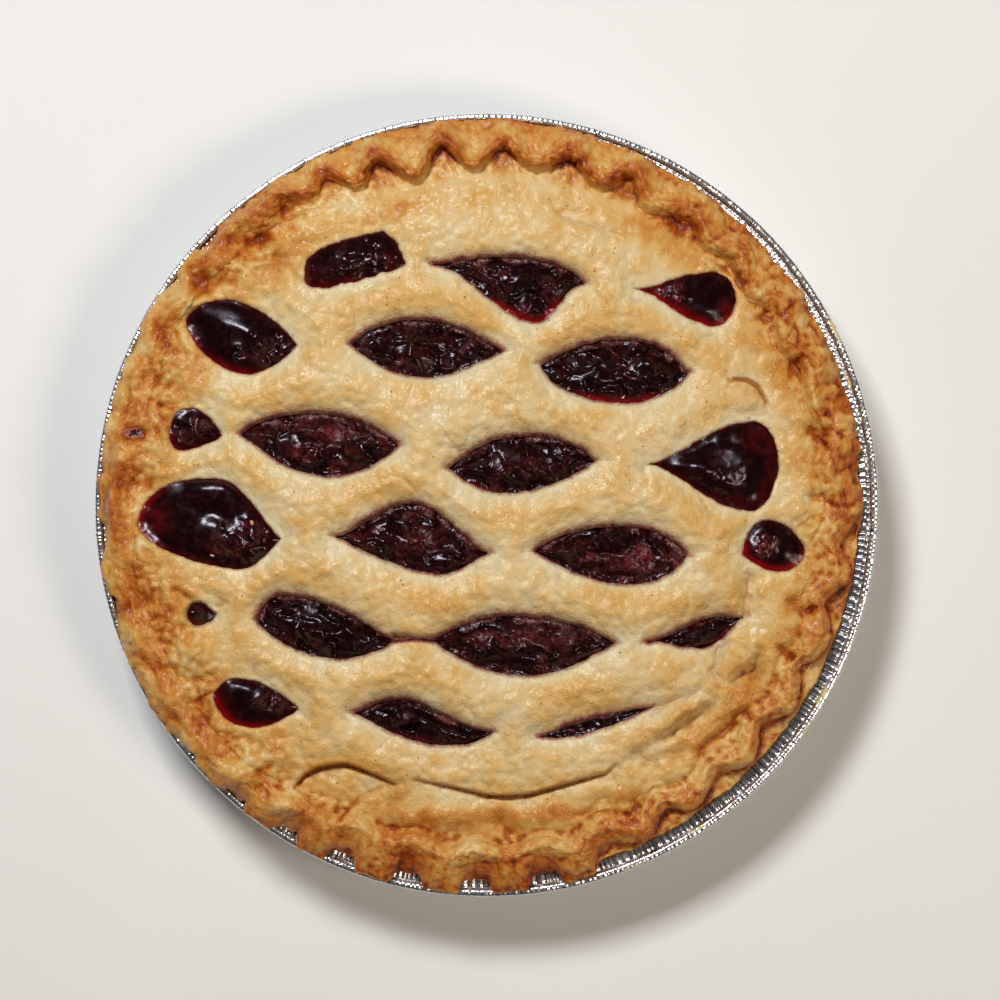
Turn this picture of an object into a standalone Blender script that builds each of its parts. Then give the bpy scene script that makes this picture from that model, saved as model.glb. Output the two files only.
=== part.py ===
"""Whole two-crust cherry pie baked in its own nine-inch foil pan.

Three solids, nested with a small gap between them:
  foil_pan  thin flared pan with a flat base, a ledge and a rolled bead
  crust     bottom shell, fluted edge and domed lid with vent slots
  filling   the cherry filling inside the crust, rising into every vent slot

All sizes below are in millimetres; the meshes are written in metres.
The origin is the centre of the underside of the pan, +Z is up.
"""
import math

import bpy
from mathutils import Vector, geometry

MM = 0.001
GAP = 0.30                     # clearance between nested pieces

# ---- foil pan -------------------------------------------------------------
SIDES = 68                     # facets round every turned wall
FOIL = 0.60                    # wall of the pan
BASE_R = 85.5                  # flat that the pan rests on
BASE_CORNER = (87.4, 0.9)      # end of the rounded base corner
WALL_TOP = (108.6, 26.3)       # where the flared wall meets the ledge
LEDGE_END = (111.4, 26.8)      # outer end of the ledge, at the bead
BEAD_R = 1.20                  # rolled edge
RIM_R = 114.3                  # outside radius of the rolled edge
BEAD_Z = 27.65

# ---- crust ----------------------------------------------------------------
BOTTOM_CRUST = 3.2             # dough under the filling
SIDE_CRUST = 3.9               # dough against the flared wall
LID = 3.8                      # dough over the filling
VALLEY_Z = 31.6                # foot of the lid, inside the fluted edge
DOME = 10.4                    # rise of the lid from its foot to the centre
DOME_POWER = 2.6
LIP_DROP = 1.9                 # how far a slot's lip rolls down
LIP_REACH = 4.2
BAND_PUFF = 1.0                # swelling of the bands between the slot rows
FLUTES = 34                    # finger flutes round the edge
FLUTE_PHASE = 5.0              # degrees, an outer dent of the edge
CREST_Z = 36.0                 # top of the fluted edge
FOOT_R = 102.0                 # mean radius of the crest line
CREST_SWING = 2.2              # how far the crest line snakes in and out
CREST_HALF = 3.2               # half thickness of the standing edge

# Reach of the dough at the foot of the fluted edge, by compass angle: it
# runs out over the bead on the left and stops short of it on the lower right.
REACH = ((0, 109.5), (30, 110.3), (60, 111.0), (90, 112.6), (120, 112.6),
         (150, 113.2), (180, 113.0), (210, 113.6), (240, 113.6), (270, 112.8),
         (300, 111.2), (330, 109.2), (360, 109.5))

# ---- vent slots -----------------------------------------------------------
# Each slot opens along an axis from a left tip to a right tip.  Its upper
# and lower lips bow away from that axis: (bow, where along the axis the bow
# is greatest, fullness toward the left tip, fullness toward the right tip).
# The last pair is the level of the filling at the lip and how far it domes.
SLOTS = {
    "A1": ((-53, 66), (-24, 70.7), (10.4, .82, .25, .8), (3.1, .12, .5, .8), (-0.8, 2.0)),
    "A2": ((-16, 70.7), (28.5, 64.8), (5.4, .6, 1.3, .6), (13, .72, 2.4, 2.4), (-2.0, 0.6)),
    "A3": ((43.5, 63.5), (73.3, 61), (6.8, .77, 2, .5), (8.7, .8, 2.0, .5), (-0.5, 2.0)),
    "B0": ((-89.5, 50.8), (-57, 47.3), (11, .4, .7, .9), (10.5, .56, .9, .9), (-0.6, 2.6)),
    "B1": ((-39.5, 47), (4.5, 44.8), (8.3, .44, .8, 1), (8.5, .47, 1, 1.3), (-2.3, 0.8)),
    "B2": ((16, 41), (59, 38.7), (9, .58, 1, .8), (9.8, .54, .6, .8), (-2.0, 0.8)),
    "C0": ((-93, 20.5), (-77.7, 20.4), (7.9, .32, .5, 1.2), (4.2, .18, .5, 1), (-0.3, 2.0)),
    "C1": ((-72, 20.5), (-26, 17.3), (7.95, .51, .75, .9), (10.2, .54, 1.2, .9), (-2.2, 0.9)),
    "C2": ((-11, 10.7), (31.7, 12.8), (8.55, .5, 1, .8), (8, .39, 1, 1), (-2.0, 0.9)),
    "C3": ((46.7, 12), (85.8, 12.5), (12, .82, 1.5, .45), (14.0, .76, 2, .5), (-0.6, 2.6)),
    "C4": ((75.3, -14.8), (93.3, -13), (9.6, .4, .7, .65), (5.9, .62, 1.2, .5), (-0.4, 2.0)),
    "D0": ((-102.3, -5.5), (-60.2, -9.7), (15.3, .52, .45, 1.5), (10.3, .72, .6, 1.2), (-0.5, 3.0)),
    "D1": ((-44.5, -9.3), (.5, -14.2), (12, .48, 1.3, 1.3), (7.45, .67, 1.35, 1.3), (-2.2, 0.9)),
    "D2": ((14.5, -13.7), (58.5, -15.2), (8.3, .6, .7, .7), (8.6, .62, 1.1, .8), (-2.2, 0.8)),
    "E0": ((-88, -31.7), (-79.7, -31.7), (3, .3, .7, 1), (3.6, .35, .5, .6), (-0.4, 1.0)),
    "E1": ((-67.2, -34), (-27.5, -39.8), (8.8, .23, .4, 1.25), (7.7, .54, .8, .9), (-1.8, 1.4)),
    "E2": ((-15, -39.8), (37.5, -40.8), (7.8, .42, .9, .8), (9.6, .5, .9, 1.2), (-2.2, 0.8)),
    "E3": ((47, -40.5), (75, -34), (2.3, .6, 1.3, 1), (6, .6, .9, 1.2), (-2.0, 0.8)),
    "F0": ((-80, -55.8), (-55.2, -59.8), (6, .285, .6, 1), (7.8, .41, .6, 1), (-0.5, 2.0)),
    "F1": ((-39.5, -60), (2.3, -66.6), (5.3, .4, 1.2, 1.7), (6.7, .6, .9, 1.1), (-2.2, 1.2)),
    "F2": ((15.8, -68), (49, -59.3), (1.5, .45, 1, 1), (2.4, .32, 1, 1), (-2.6, 0.2)),
}
LID_SCALE = 0.985              # slot plan drawn in to the height of the lid

# Closed slits and folds in the lid: ends, sideways bow, half width, depth.
FOLDS = (((-57, -83.2), (-25.7, -82.5), 6.6, 1.1, 2.4),
         ((-10, -83.0), (38, -76.3), -6.6, 1.1, 2.2),
         ((71.5, 36.3), (81.5, 31.4), 2.4, 0.9, 2.6))


def clamp(v, lo, hi):
    return max(lo, min(hi, v))


def smooth(a, b, v):
    t = clamp((v - a) / (b - a), 0.0, 1.0)
    return t * t * (3.0 - 2.0 * t)


def by_angle(table, deg):
    """Straight interpolation of a table of (compass angle, value)."""
    deg %= 360.0
    for (a0, v0), (a1, v1) in zip(table, table[1:]):
        if deg <= a1:
            return v0 + (v1 - v0) * (deg - a0) / (a1 - a0)
    return table[-1][1]


def left_side(deg):
    """1 on the left, where the edge is pressed flat, 0 on the crisp side."""
    off = abs((deg - 178.0 + 180.0) % 360.0 - 180.0)
    return 1.0 - smooth(45.0, 75.0, off)


def valley_r(deg):
    """Radius of the foot of the lid, inside the fluted edge."""
    return 97.2 + 7.2 * left_side(deg)


def dome(x, y):
    r = math.hypot(x, y)
    rho = min(1.0, r / valley_r(math.degrees(math.atan2(y, x))))
    return VALLEY_Z + DOME * (1.0 - rho ** DOME_POWER) ** 0.8


# ---- slot outlines --------------------------------------------------------
def bow(t, height, at, full_l, full_r):
    s, full = (t / at, full_l) if t <= at else ((1.0 - t) / (1.0 - at), full_r)
    return height * (1.0 - (1.0 - clamp(s, 0.0, 1.0)) ** 2) ** full


def lens(left, right, upper, lower, steps):
    """Closed outline, counter-clockwise, from two bowed lips."""
    ax, ay = right[0] - left[0], right[1] - left[1]
    length = math.hypot(ax, ay)
    ax, ay = ax / length, ay / length
    out = []
    for side, lip in ((-1.0, lower), (1.0, upper)):
        for i in range(steps):
            t = 0.5 - 0.5 * math.cos(math.pi * i / steps)
            if side > 0:
                t = 1.0 - t
            off = side * bow(t, *lip)
            out.append((LID_SCALE * (left[0] + ax * length * t - ay * off),
                        LID_SCALE * (left[1] + ay * length * t + ax * off)))
    return out


def offset(loop, d):
    """Loop moved outward by d (inward when negative), mitred at corners."""
    out = []
    n = len(loop)
    for i in range(n):
        p, q, s = Vector(loop[i - 1]), Vector(loop[i]), Vector(loop[(i + 1) % n])
        e0, e1 = (q - p).normalized(), (s - q).normalized()
        n0, n1 = Vector((e0.y, -e0.x)), Vector((e1.y, -e1.x))
        m = (n0 + n1).normalized()
        k = min(4.0, 1.0 / max(0.2, m.dot(n0)))
        out.append((q.x + m.x * d * k, q.y + m.y * d * k))
    return out


def inside(p, loop):
    hit = False
    n = len(loop)
    for i in range(n):
        (x0, y0), (x1, y1) = loop[i], loop[(i + 1) % n]
        if (y0 > p[1]) != (y1 > p[1]) and p[0] < (x1 - x0) * (p[1] - y0) / (y1 - y0) + x0:
            hit = not hit
    return hit


def distance(p, loop):
    best = 1e9
    n = len(loop)
    for i in range(n):
        (x0, y0), (x1, y1) = loop[i], loop[(i + 1) % n]
        dx, dy = x1 - x0, y1 - y0
        t = clamp(((p[0] - x0) * dx + (p[1] - y0) * dy) / (dx * dx + dy * dy), 0.0, 1.0)
        best = min(best, math.hypot(p[0] - x0 - dx * t, p[1] - y0 - dy * t))
    return best


def crossing(a, b, c, d):
    def turn(p, q, r):
        return (q[0] - p[0]) * (r[1] - p[1]) - (q[1] - p[1]) * (r[0] - p[0])
    return turn(a, b, c) * turn(a, b, d) < 0 and turn(c, d, a) * turn(c, d, b) < 0


def inset(loop, gap):
    """Loop shrunk by gap; a sharp tip slides inward until it is clear."""
    n = len(loop)
    out = []
    for q, m in zip(loop, offset(loop, -gap)):
        away = Vector((m[0] - q[0], m[1] - q[1]))
        start, away = away.length, away.normalized()
        for k in range(33):
            d = start + 0.25 * k
            v = (q[0] + away.x * d, q[1] + away.y * d)
            if inside(v, loop) and distance(v, loop) > 0.93 * gap:
                out.append(v)
                break
    tidy = True
    while tidy:
        tidy = False
        n = len(out)
        for i in range(n):
            j = (i + 1) % n
            if math.dist(out[i], out[j]) < 0.5:
                out.pop(j)
                tidy = True
                break
            for k in range(i + 2, n - (1 if i == 0 else 0)):
                if crossing(out[i], out[j], out[k], out[(k + 1) % n]):
                    out.pop(j if k == i + 2 else k)
                    tidy = True
                    break
            if tidy:
                break
    return out


def slot_steps(name):
    left, right = SLOTS[name][:2]
    return 6 if math.dist(left, right) < 32 else 8


OUTLINES = {n: lens(s[0], s[1], s[2], s[3], slot_steps(n)) for n, s in SLOTS.items()}


def fold_line(fold, count=7):
    (x0, y0), (x1, y1), sag, half, depth = fold
    length = math.hypot(x1 - x0, y1 - y0)
    nx, ny = -(y1 - y0) / length, (x1 - x0) / length
    mid, rim_a, rim_b = [], [], []
    for i in range(count):
        t = i / (count - 1)
        off = sag * 4 * t * (1 - t)
        w = half * math.sin(math.pi * t) ** 0.5 if 0 < i < count - 1 else 0.0
        x, y = x0 + (x1 - x0) * t + nx * off, y0 + (y1 - y0) * t + ny * off
        mid.append((LID_SCALE * x, LID_SCALE * y))
        rim_a.append((LID_SCALE * (x + nx * w), LID_SCALE * (y + ny * w)))
        rim_b.append((LID_SCALE * (x - nx * w), LID_SCALE * (y - ny * w)))
    return mid, rim_a, rim_b


def lid_top(x, y):
    near = min(distance((x, y), o) for o in OUTLINES.values())
    z = dome(x, y)
    r = math.hypot(x, y)
    fade = 1.0 - smooth(70.0, 95.0, r)
    z += BAND_PUFF * fade * (1.0 - math.exp(-(near / 6.0) ** 2))
    return z - LIP_DROP * math.exp(-(near / LIP_REACH) ** 2)


def lid_under(x, y):
    return dome(x, y) - LID


# ---- mesh building --------------------------------------------------------
class Body:
    """Points and faces of one closed solid."""

    def __init__(self):
        self.points, self.faces = [], []

    def add(self, pts):
        first = len(self.points)
        self.points.extend(pts)
        return list(range(first, len(self.points)))

    def strip(self, a, b, flip=False):
        """Band between two rings of equal count, split along one diagonal."""
        n = len(a)
        for i in range(n):
            j = (i + 1) % n
            for f in ((a[i], a[j], b[j]), (a[i], b[j], b[i])):
                self.faces.append(f[::-1] if flip else f)

    def halve(self, fine, coarse):
        """Band from a ring to one with half as many points."""
        n = len(coarse)
        for i in range(n):
            j = (i + 1) % n
            a, b, c = fine[2 * i], fine[2 * i + 1], fine[(2 * i + 2) % len(fine)]
            self.faces += [(a, b, coarse[i]), (b, coarse[j], coarse[i]), (b, c, coarse[j])]

    def disc(self, ring, flip=False):
        self.faces.append(tuple(ring[::-1] if flip else ring))

    def region(self, outer, holes, extra, edges=(), flip=False):
        """Triangulates the plan inside `outer`, leaving out `holes`."""
        ids = list(outer) + [i for h in holes for i in h] + list(extra)
        where = {v: k for k, v in enumerate(ids)}
        loops = [outer] + list(holes)
        seams = [(where[lp[i]], where[lp[(i + 1) % len(lp)]])
                 for lp in loops for i in range(len(lp))]
        seams += [(where[a], where[b]) for a, b in edges]
        flat = [Vector(self.points[i][:2]) for i in ids]
        verts, _, faces, origin, _, _ = geometry.delaunay_2d_cdt(flat, seams, [], 0, 1e-7)
        hole_xy = [[self.points[i][:2] for i in h] for h in holes]
        rim_xy = [self.points[i][:2] for i in outer]
        for f in faces:
            c = (sum(verts[k].x for k in f) / 3, sum(verts[k].y for k in f) / 3)
            if not inside(c, rim_xy) or any(inside(c, h) for h in hole_xy):
                continue
            tri = tuple(ids[origin[k][0]] for k in f)
            self.faces.append(tri[::-1] if flip else tri)

    def build(self, name, material, sharp=40.0):
        mesh = bpy.data.meshes.new(name)
        mesh.from_pydata([(x * MM, y * MM, z * MM) for x, y, z in self.points], [], self.faces)
        mesh.validate()
        mesh.materials.append(material)
        mesh.shade_smooth()
        mesh.set_sharp_from_angle(angle=math.radians(sharp))
        obj = bpy.data.objects.new(name, mesh)
        bpy.context.scene.collection.objects.link(obj)
        return obj


def circle(r, z, sides=SIDES, turn=math.radians(FLUTE_PHASE)):
    return [(r * math.cos(turn + 2 * math.pi * i / sides),
             r * math.sin(turn + 2 * math.pi * i / sides), z) for i in range(sides)]


def material(name, colour, roughness, metallic=0.0):
    mat = bpy.data.materials.new(name)
    mat.use_nodes = True
    shader = mat.node_tree.nodes["Principled BSDF"]
    shader.inputs["Base Color"].default_value = (*colour, 1.0)
    shader.inputs["Roughness"].default_value = roughness
    shader.inputs["Metallic"].default_value = metallic
    return mat


# ---- foil pan -------------------------------------------------------------
def wall_normal():
    dx, dz = WALL_TOP[0] - BASE_CORNER[0], WALL_TOP[1] - BASE_CORNER[1]
    n = math.hypot(dx, dz)
    return dz / n, -dx / n          # outward and down


def pan_inside(extra=0.0):
    """Inner profile of the pan, from the base centre side out to the bead."""
    nx, nz = wall_normal()
    d = FOIL + extra
    return [(BASE_R - 0.3 - extra, d), (BASE_CORNER[0] - nx * d, BASE_CORNER[1] - nz * d),
            (WALL_TOP[0] - nx * d * 0.9, WALL_TOP[1] + d * 1.05)]


def foil_pan():
    body = Body()
    centre_r = RIM_R - BEAD_R
    outer = [(BASE_R, 0.0), BASE_CORNER, WALL_TOP, LEDGE_END]
    bead = [(centre_r + BEAD_R * math.cos(math.radians(a)),
             BEAD_Z + BEAD_R * math.sin(math.radians(a)))
            for a in (-135, -90, -45, 0, 45, 90, 135)]
    inner = [(LEDGE_END[0], LEDGE_END[1] + FOIL)] + pan_inside()[::-1]
    rings = [body.add(circle(r, z)) for r, z in outer + bead + inner]
    body.disc(rings[0], flip=True)
    for a, b in zip(rings, rings[1:]):
        body.strip(a, b)
    body.disc(rings[-1])
    return body.build("foil_pan", material("foil", (0.80, 0.80, 0.81), 0.28, 1.0))


# ---- crust ----------------------------------------------------------------
def flute_rings():
    """Rings of the fluted edge, from the foot of the lid out to the pan."""
    per = 4
    rings = [[] for _ in range(9)]
    for i in range(FLUTES * per):
        phase = 2 * math.pi * i / per
        deg = FLUTE_PHASE + 360.0 * i / (FLUTES * per)
        deg += 1.6 * math.sin(math.radians(deg))
        flat = left_side(deg)
        crisp = 1.0 - 0.62 * flat
        wob = math.sin(3.7 * (i // per) + 1.0)
        swing = math.cos(phase)                      # 1 at an outer dent
        crest = FOOT_R + 5.6 * flat - CREST_SWING * crisp * swing
        half = CREST_HALF - 0.45 * crisp * swing
        dent = 1.0 + 3.6 * smooth(232, 250, deg % 360) * (1 - smooth(332, 350, deg % 360))
        base = by_angle(REACH, deg) - dent * crisp * 0.5 * (1 + swing)
        base = max(base, 107.7)
        top = CREST_Z - 1.7 * flat + 0.35 * wob
        foot = VALLEY_Z
        section = [
            (crest - half - 0.9, foot),
            (crest - half + 0.2, foot + 0.42 * (top - foot)),
            (crest - half * 0.55, top - 0.75),
            (crest + 0.2, top),
            (crest + half * 0.62, top - 0.8),
            (0.62 * (crest + half) + 0.38 * base + 0.5, 0.5 * (top + 30.2)),
            (base, 30.1),
            (clamp(base - 0.1, 107.95, 111.7), 28.75),
            (clamp(base - 0.4, 107.95, 110.8), 27.95),
        ]
        c, s = math.cos(math.radians(deg)), math.sin(math.radians(deg))
        for ring, (r, z) in zip(rings, section):
            ring.append((r * c, r * s, z))
    return rings


def grid_points(spacing, limit, keep):
    pts = []
    rows = int(limit / (spacing * 0.866)) + 1
    for j in range(-rows, rows + 1):
        for i in range(-rows - 2, rows + 3):
            p = ((i + 0.5 * (j % 2)) * spacing, j * spacing * 0.866)
            if keep(p):
                pts.append(p)
    return pts


def crust():
    body = Body()
    rings = [body.add(r) for r in flute_rings()]
    foot_xy = [body.points[i][:2] for i in rings[0]]
    for a, b in zip(rings, rings[1:]):
        body.strip(a, b, flip=True)

    # underside of the edge, then down the flared wall to the base
    shell = [(r, z) for r, z in pan_inside(GAP + 0.05)]
    low = [body.add(circle(r, z)) for r, z in shell[::-1]]
    body.halve(rings[-1], low[0])
    body.faces[-3 * SIDES:] = [f[::-1] for f in body.faces[-3 * SIDES:]]
    for a, b in zip(low, low[1:]):
        body.strip(a, b, flip=True)
    body.disc(low[-1], flip=True)

    # cavity that the filling lies in
    cav = cavity()
    inner = [body.add(circle(r, z)) for r, z in cav]
    body.disc(inner[0])
    for a, b in zip(inner, inner[1:]):
        body.strip(a, b, flip=True)

    # slot walls
    tops, unders = [], []
    for loop in OUTLINES.values():
        tops.append(body.add([(x, y, lid_top(x, y)) for x, y in loop]))
        unders.append(body.add([(x, y, lid_under(x, y)) for x, y in loop]))
        body.strip(unders[-1], tops[-1], flip=True)

    # folds: a valley line between two rims
    extra, seams, taken = [], [], []
    for fold in FOLDS:
        mid, rim_a, rim_b = fold_line(fold)
        m = body.add([(x, y, lid_top(x, y) - fold[4] * math.sin(math.pi * k / 6) ** 0.5)
                      for k, (x, y) in enumerate(mid)])
        a = body.add([(x, y, lid_top(x, y)) for x, y in rim_a[1:-1]])
        b = body.add([(x, y, lid_top(x, y)) for x, y in rim_b[1:-1]])
        for line in (m, [m[0]] + a + [m[-1]], [m[0]] + b + [m[-1]]):
            seams += list(zip(line, line[1:]))
        extra += m + a + b
        taken += mid

    # rolled lips, then open dough
    around = []
    loops = list(OUTLINES.values())
    for k, loop in enumerate(loops):
        for p in offset(loop, 3.6)[::2]:
            clear = all(distance(p, o) > 2.6 and not inside(p, o)
                        for j, o in enumerate(loops) if j != k)
            if clear and inside(p, foot_xy) and distance(p, foot_xy) > 2.5 \
                    and all(math.dist(p, q) > 3.0 for q in around) \
                    and all(math.dist(p, q) > 3.0 for q in taken):
                around.append(p)

    def open_dough(p):
        return (inside(p, foot_xy) and distance(p, foot_xy) > 4.5
                and all(not inside(p, o) and distance(p, o) > 5.0 for o in loops)
                and all(math.dist(p, q) > 5.5 for q in around + taken))

    fill = grid_points(10.4, 104, open_dough)
    extra += body.add([(x, y, lid_top(x, y)) for x, y in around + fill])
    body.region(rings[0], tops, extra, seams)

    rim = inner[-1]
    rim_r = cav[-1][0]
    pts = grid_points(24.0, rim_r, lambda p: math.hypot(*p) < rim_r - 8 and all(
        not inside(p, o) and distance(p, o) > 6.0 for o in loops))
    inside_pts = body.add([(x, y, lid_under(x, y)) for x, y in pts])
    body.region(rim, unders, inside_pts, flip=True)
    return body.build("crust", material("baked_crust", (0.80, 0.55, 0.26), 0.62))


def cavity(shrink=0.0):
    """Profile of the space for the filling, from its floor up to the lid."""
    nx, nz = wall_normal()
    d = FOIL + GAP + SIDE_CRUST + shrink
    floor = FOIL + GAP + BOTTOM_CRUST + shrink
    foot = BASE_CORNER[0] - nx * d
    top_r = 103.9 - shrink
    return [(foot - 3.0, floor), (foot + 0.6, floor + 1.6), (top_r, VALLEY_Z - LID - shrink)]


# ---- filling --------------------------------------------------------------
def filling():
    body = Body()
    prof = cavity(GAP)
    rings = [body.add(circle(r, z)) for r, z in prof]
    body.disc(rings[0], flip=True)
    for a, b in zip(rings, rings[1:]):
        body.strip(a, b)
    feet = []
    for name, loop in OUTLINES.items():
        level, rise = SLOTS[name][4]
        inner = inset(loop, GAP)
        lower = body.add([(x, y, lid_under(x, y) - GAP) for x, y in inner])
        upper = body.add([(x, y, lid_top(x, y) + level) for x, y in inner])
        body.strip(lower, upper)
        feet.append(lower)
        # domed top: one smaller ring and a spine of points along the axis
        n = len(inner)
        cx, cy = sum(p[0] for p in inner) / n, sum(p[1] for p in inner) / n
        ridge = [(cx + (x - cx) * 0.55, cy + (y - cy) * 0.55) for x, y in inner][::2]
        ridge = [p for p in ridge if inside(p, inner) and distance(p, inner) > 0.6]
        up = level + rise * 0.8
        mids = body.add([(x, y, lid_top(x, y) + LIP_DROP * 0.2 + up) for x, y in ridge])
        top = body.add([(cx, cy, lid_top(cx, cy) + level + rise)]) if inside((cx, cy), inner) else []
        body.region(upper, [], mids + top)
    rim_r = prof[-1][0]
    loops = list(OUTLINES.values())
    pts = grid_points(24.0, rim_r, lambda p: math.hypot(*p) < rim_r - 8 and all(
        not inside(p, o) and distance(p, o) > 6.0 for o in loops))
    extra = body.add([(x, y, lid_under(x, y) - GAP) for x, y in pts])
    body.region(rings[-1], feet, extra)
    return body.build("filling", material("cherry_filling", (0.055, 0.004, 0.006), 0.16))


for old in list(bpy.context.scene.objects):
    bpy.data.objects.remove(old, do_unlink=True)

foil_pan()
crust()
filling()
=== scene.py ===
"""Looks of the cherry pie: dough lid with vent slots, fluted edge, cherry
filling and pleated foil pan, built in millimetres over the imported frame."""

import math

import bpy
import numpy as np
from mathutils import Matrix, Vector, geometry


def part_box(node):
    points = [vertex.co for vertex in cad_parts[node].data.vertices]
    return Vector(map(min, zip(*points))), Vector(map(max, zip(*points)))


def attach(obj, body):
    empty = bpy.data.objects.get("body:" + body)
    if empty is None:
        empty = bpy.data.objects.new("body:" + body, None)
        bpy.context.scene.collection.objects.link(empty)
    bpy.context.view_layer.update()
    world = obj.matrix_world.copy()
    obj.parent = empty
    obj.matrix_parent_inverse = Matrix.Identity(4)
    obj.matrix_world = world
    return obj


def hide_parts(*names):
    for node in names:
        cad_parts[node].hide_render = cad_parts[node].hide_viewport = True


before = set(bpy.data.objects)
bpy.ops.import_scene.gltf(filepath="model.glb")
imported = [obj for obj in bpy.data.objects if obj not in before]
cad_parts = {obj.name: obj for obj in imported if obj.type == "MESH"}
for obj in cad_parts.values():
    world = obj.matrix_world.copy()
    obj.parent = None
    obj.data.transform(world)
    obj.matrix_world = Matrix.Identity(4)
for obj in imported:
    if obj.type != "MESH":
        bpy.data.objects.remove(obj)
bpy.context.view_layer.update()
pan_lo, pan_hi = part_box("foil_pan")

RIM_R = 114.3
MM = (pan_hi[0] - pan_lo[0]) / (2 * RIM_R)
ORIGIN = np.array([(pan_lo[0] + pan_hi[0]) / 2, (pan_lo[1] + pan_hi[1]) / 2, pan_lo[2]])

# ---- sizes shared with the solids (mm) ---------------------------------------
FOIL, GAP = 0.60, 0.30
BASE_R = 85.5
BASE_CORNER = (87.4, 0.9)
WALL_TOP = (108.6, 26.3)
LEDGE_END = (111.4, 26.8)
BEAD_R, BEAD_Z = 1.20, 27.65
BOTTOM_CRUST, SIDE_CRUST, LID = 3.2, 3.9, 3.8
VALLEY_Z, DOME, DOME_POWER = 31.6, 10.4, 2.6
CREST_Z, CREST_R, CREST_SWING, CREST_HALF = 36.0, 102.0, 2.2, 3.2
REACH = ((0, 109.5), (30, 110.3), (60, 111.0), (90, 112.6), (120, 112.6),
         (150, 113.2), (180, 113.0), (210, 113.6), (240, 113.6), (270, 112.8),
         (300, 111.2), (330, 109.2), (360, 109.5))
LID_SCALE = 0.985

# ends, then (bow, where, fullness left, fullness right) of both lips
SLOTS = {
    "A1": ((-53, 66), (-24, 70.7), (10.4, .82, .25, .8), (3.1, .12, .5, .8)),
    "A2": ((-16, 70.7), (28.5, 64.8), (5.4, .6, 1.3, .6), (13, .72, 2.4, 2.4)),
    "A3": ((43.5, 63.5), (73.3, 61), (6.8, .77, 2, .5), (8.7, .8, 2.0, .5)),
    "B0": ((-88.3, 54.3), (-55.8, 46.8), (8.6, .36, .65, .9), (11.6, .57, .75, .9)),
    "B1": ((-39.5, 47), (4.5, 44.8), (8.3, .44, .8, 1), (8.5, .47, 1, 1.3)),
    "B2": ((16, 41), (59, 38.7), (9, .58, 1, .8), (9.8, .54, .6, .8)),
    "C0": ((-93, 20.5), (-77.7, 20.4), (7.9, .34, .5, .85), (4.2, .18, .5, 1)),
    "C1": ((-72, 20.5), (-26, 17.3), (7.95, .51, .75, .9), (10.2, .54, 1.2, .9)),
    "C2": ((-11, 10.7), (31.7, 12.8), (8.55, .5, 1, .8), (8, .39, 1, 1)),
    "C3": ((46.7, 12), (85.8, 12.5), (12, .82, 1.9, .55), (14.0, .78, 2, .6)),
    "C4": ((75.3, -14.8), (93.3, -13), (9.6, .4, .7, .65), (5.9, .62, 1.2, .5)),
    "D0": ((-102.3, -5.5), (-60.2, -9.7), (15.3, .52, .45, 1.5), (10.3, .72, .6, 1.2)),
    "D1": ((-44.5, -9.3), (.5, -14.2), (12.2, .48, 1.8, 1.75), (7.45, .67, 1.35, 1.3)),
    "D2": ((14.5, -13.7), (58.5, -15.2), (8.3, .6, .7, .7), (8.6, .62, 1.1, .8)),
    "E0": ((-88, -31.7), (-79.7, -31.7), (3, .3, .7, 1), (3.6, .35, .5, .6)),
    "E1": ((-67.2, -34), (-27.5, -39.8), (8.8, .23, .4, 1.25), (7.7, .54, .8, .9)),
    "E2": ((-15, -39.8), (37.5, -40.8), (7.8, .42, .9, .8), (9.6, .5, .9, 1.2)),
    "E3": ((47.2, -40.4), (75.8, -33), (2.4, .7, 2.6, 2.5), (5.6, .56, 2.3, 1.8)),
    "F0": ((-80, -55.8), (-55.2, -59.8), (6, .285, .6, 1), (7.8, .41, .6, 1)),
    "F1": ((-38.8, -61.2), (1.4, -66.8), (6, .34, 1.2, 3), (5.8, .6, 1.3, .8)),
    "F2": ((15.8, -68), (49, -59.3), (1.5, .45, 1, 1), (2.4, .32, 1, 1)),
}
TORN = {"A1": 2.4, "E0": 2.2, "C0": 1.5, "A2": 1.5, "B2": 1.4, "A3": 1.4, "D1": 1.3, "C2": 1.4}
BULGING = ("A1", "A3", "B0", "C0", "C3", "C4", "D0", "E0", "F0")

# compass angles of the outward lobes of the fluted edge
LOBES = (11.4, 23.5, 34.5, 44.2, 55.2, 65.8, 76.9, 86.9, 97.0, 108.0, 116.6, 124.5,
         132.0, 140.7, 150.2, 159.8, 168.8, 179.0, 190.0, 201.0, 213.7, 224.1, 234.0,
         243.0, 252.6, 263.1, 273.5, 284.3, 295.1, 305.4, 315.6, 326.9, 338.2, 349.0,
         359.7)
N_RIM = 1160
SPACING = 0.585
EDGE_STEP = 0.45


# ---- number helpers ----------------------------------------------------------
def smooth(a, b, v):
    t = np.clip((v - a) / (b - a), 0.0, 1.0)
    return t * t * (3.0 - 2.0 * t)


def mix(a, b, t):
    return a + (b - a) * t


def hashed(ix, iy, iz, seed):
    with np.errstate(over="ignore"):
        h = (ix.astype(np.int64).astype(np.uint32) * np.uint32(374761393)
             + iy.astype(np.int64).astype(np.uint32) * np.uint32(668265263)
             + iz.astype(np.int64).astype(np.uint32) * np.uint32(2147483647)
             + np.uint32((seed * 2246822519 + 3266489917) & 0xFFFFFFFF))
        h = (h ^ (h >> np.uint32(15))) * np.uint32(2246822519)
        h = (h ^ (h >> np.uint32(13))) * np.uint32(3266489917)
        return h ^ (h >> np.uint32(16))


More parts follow.
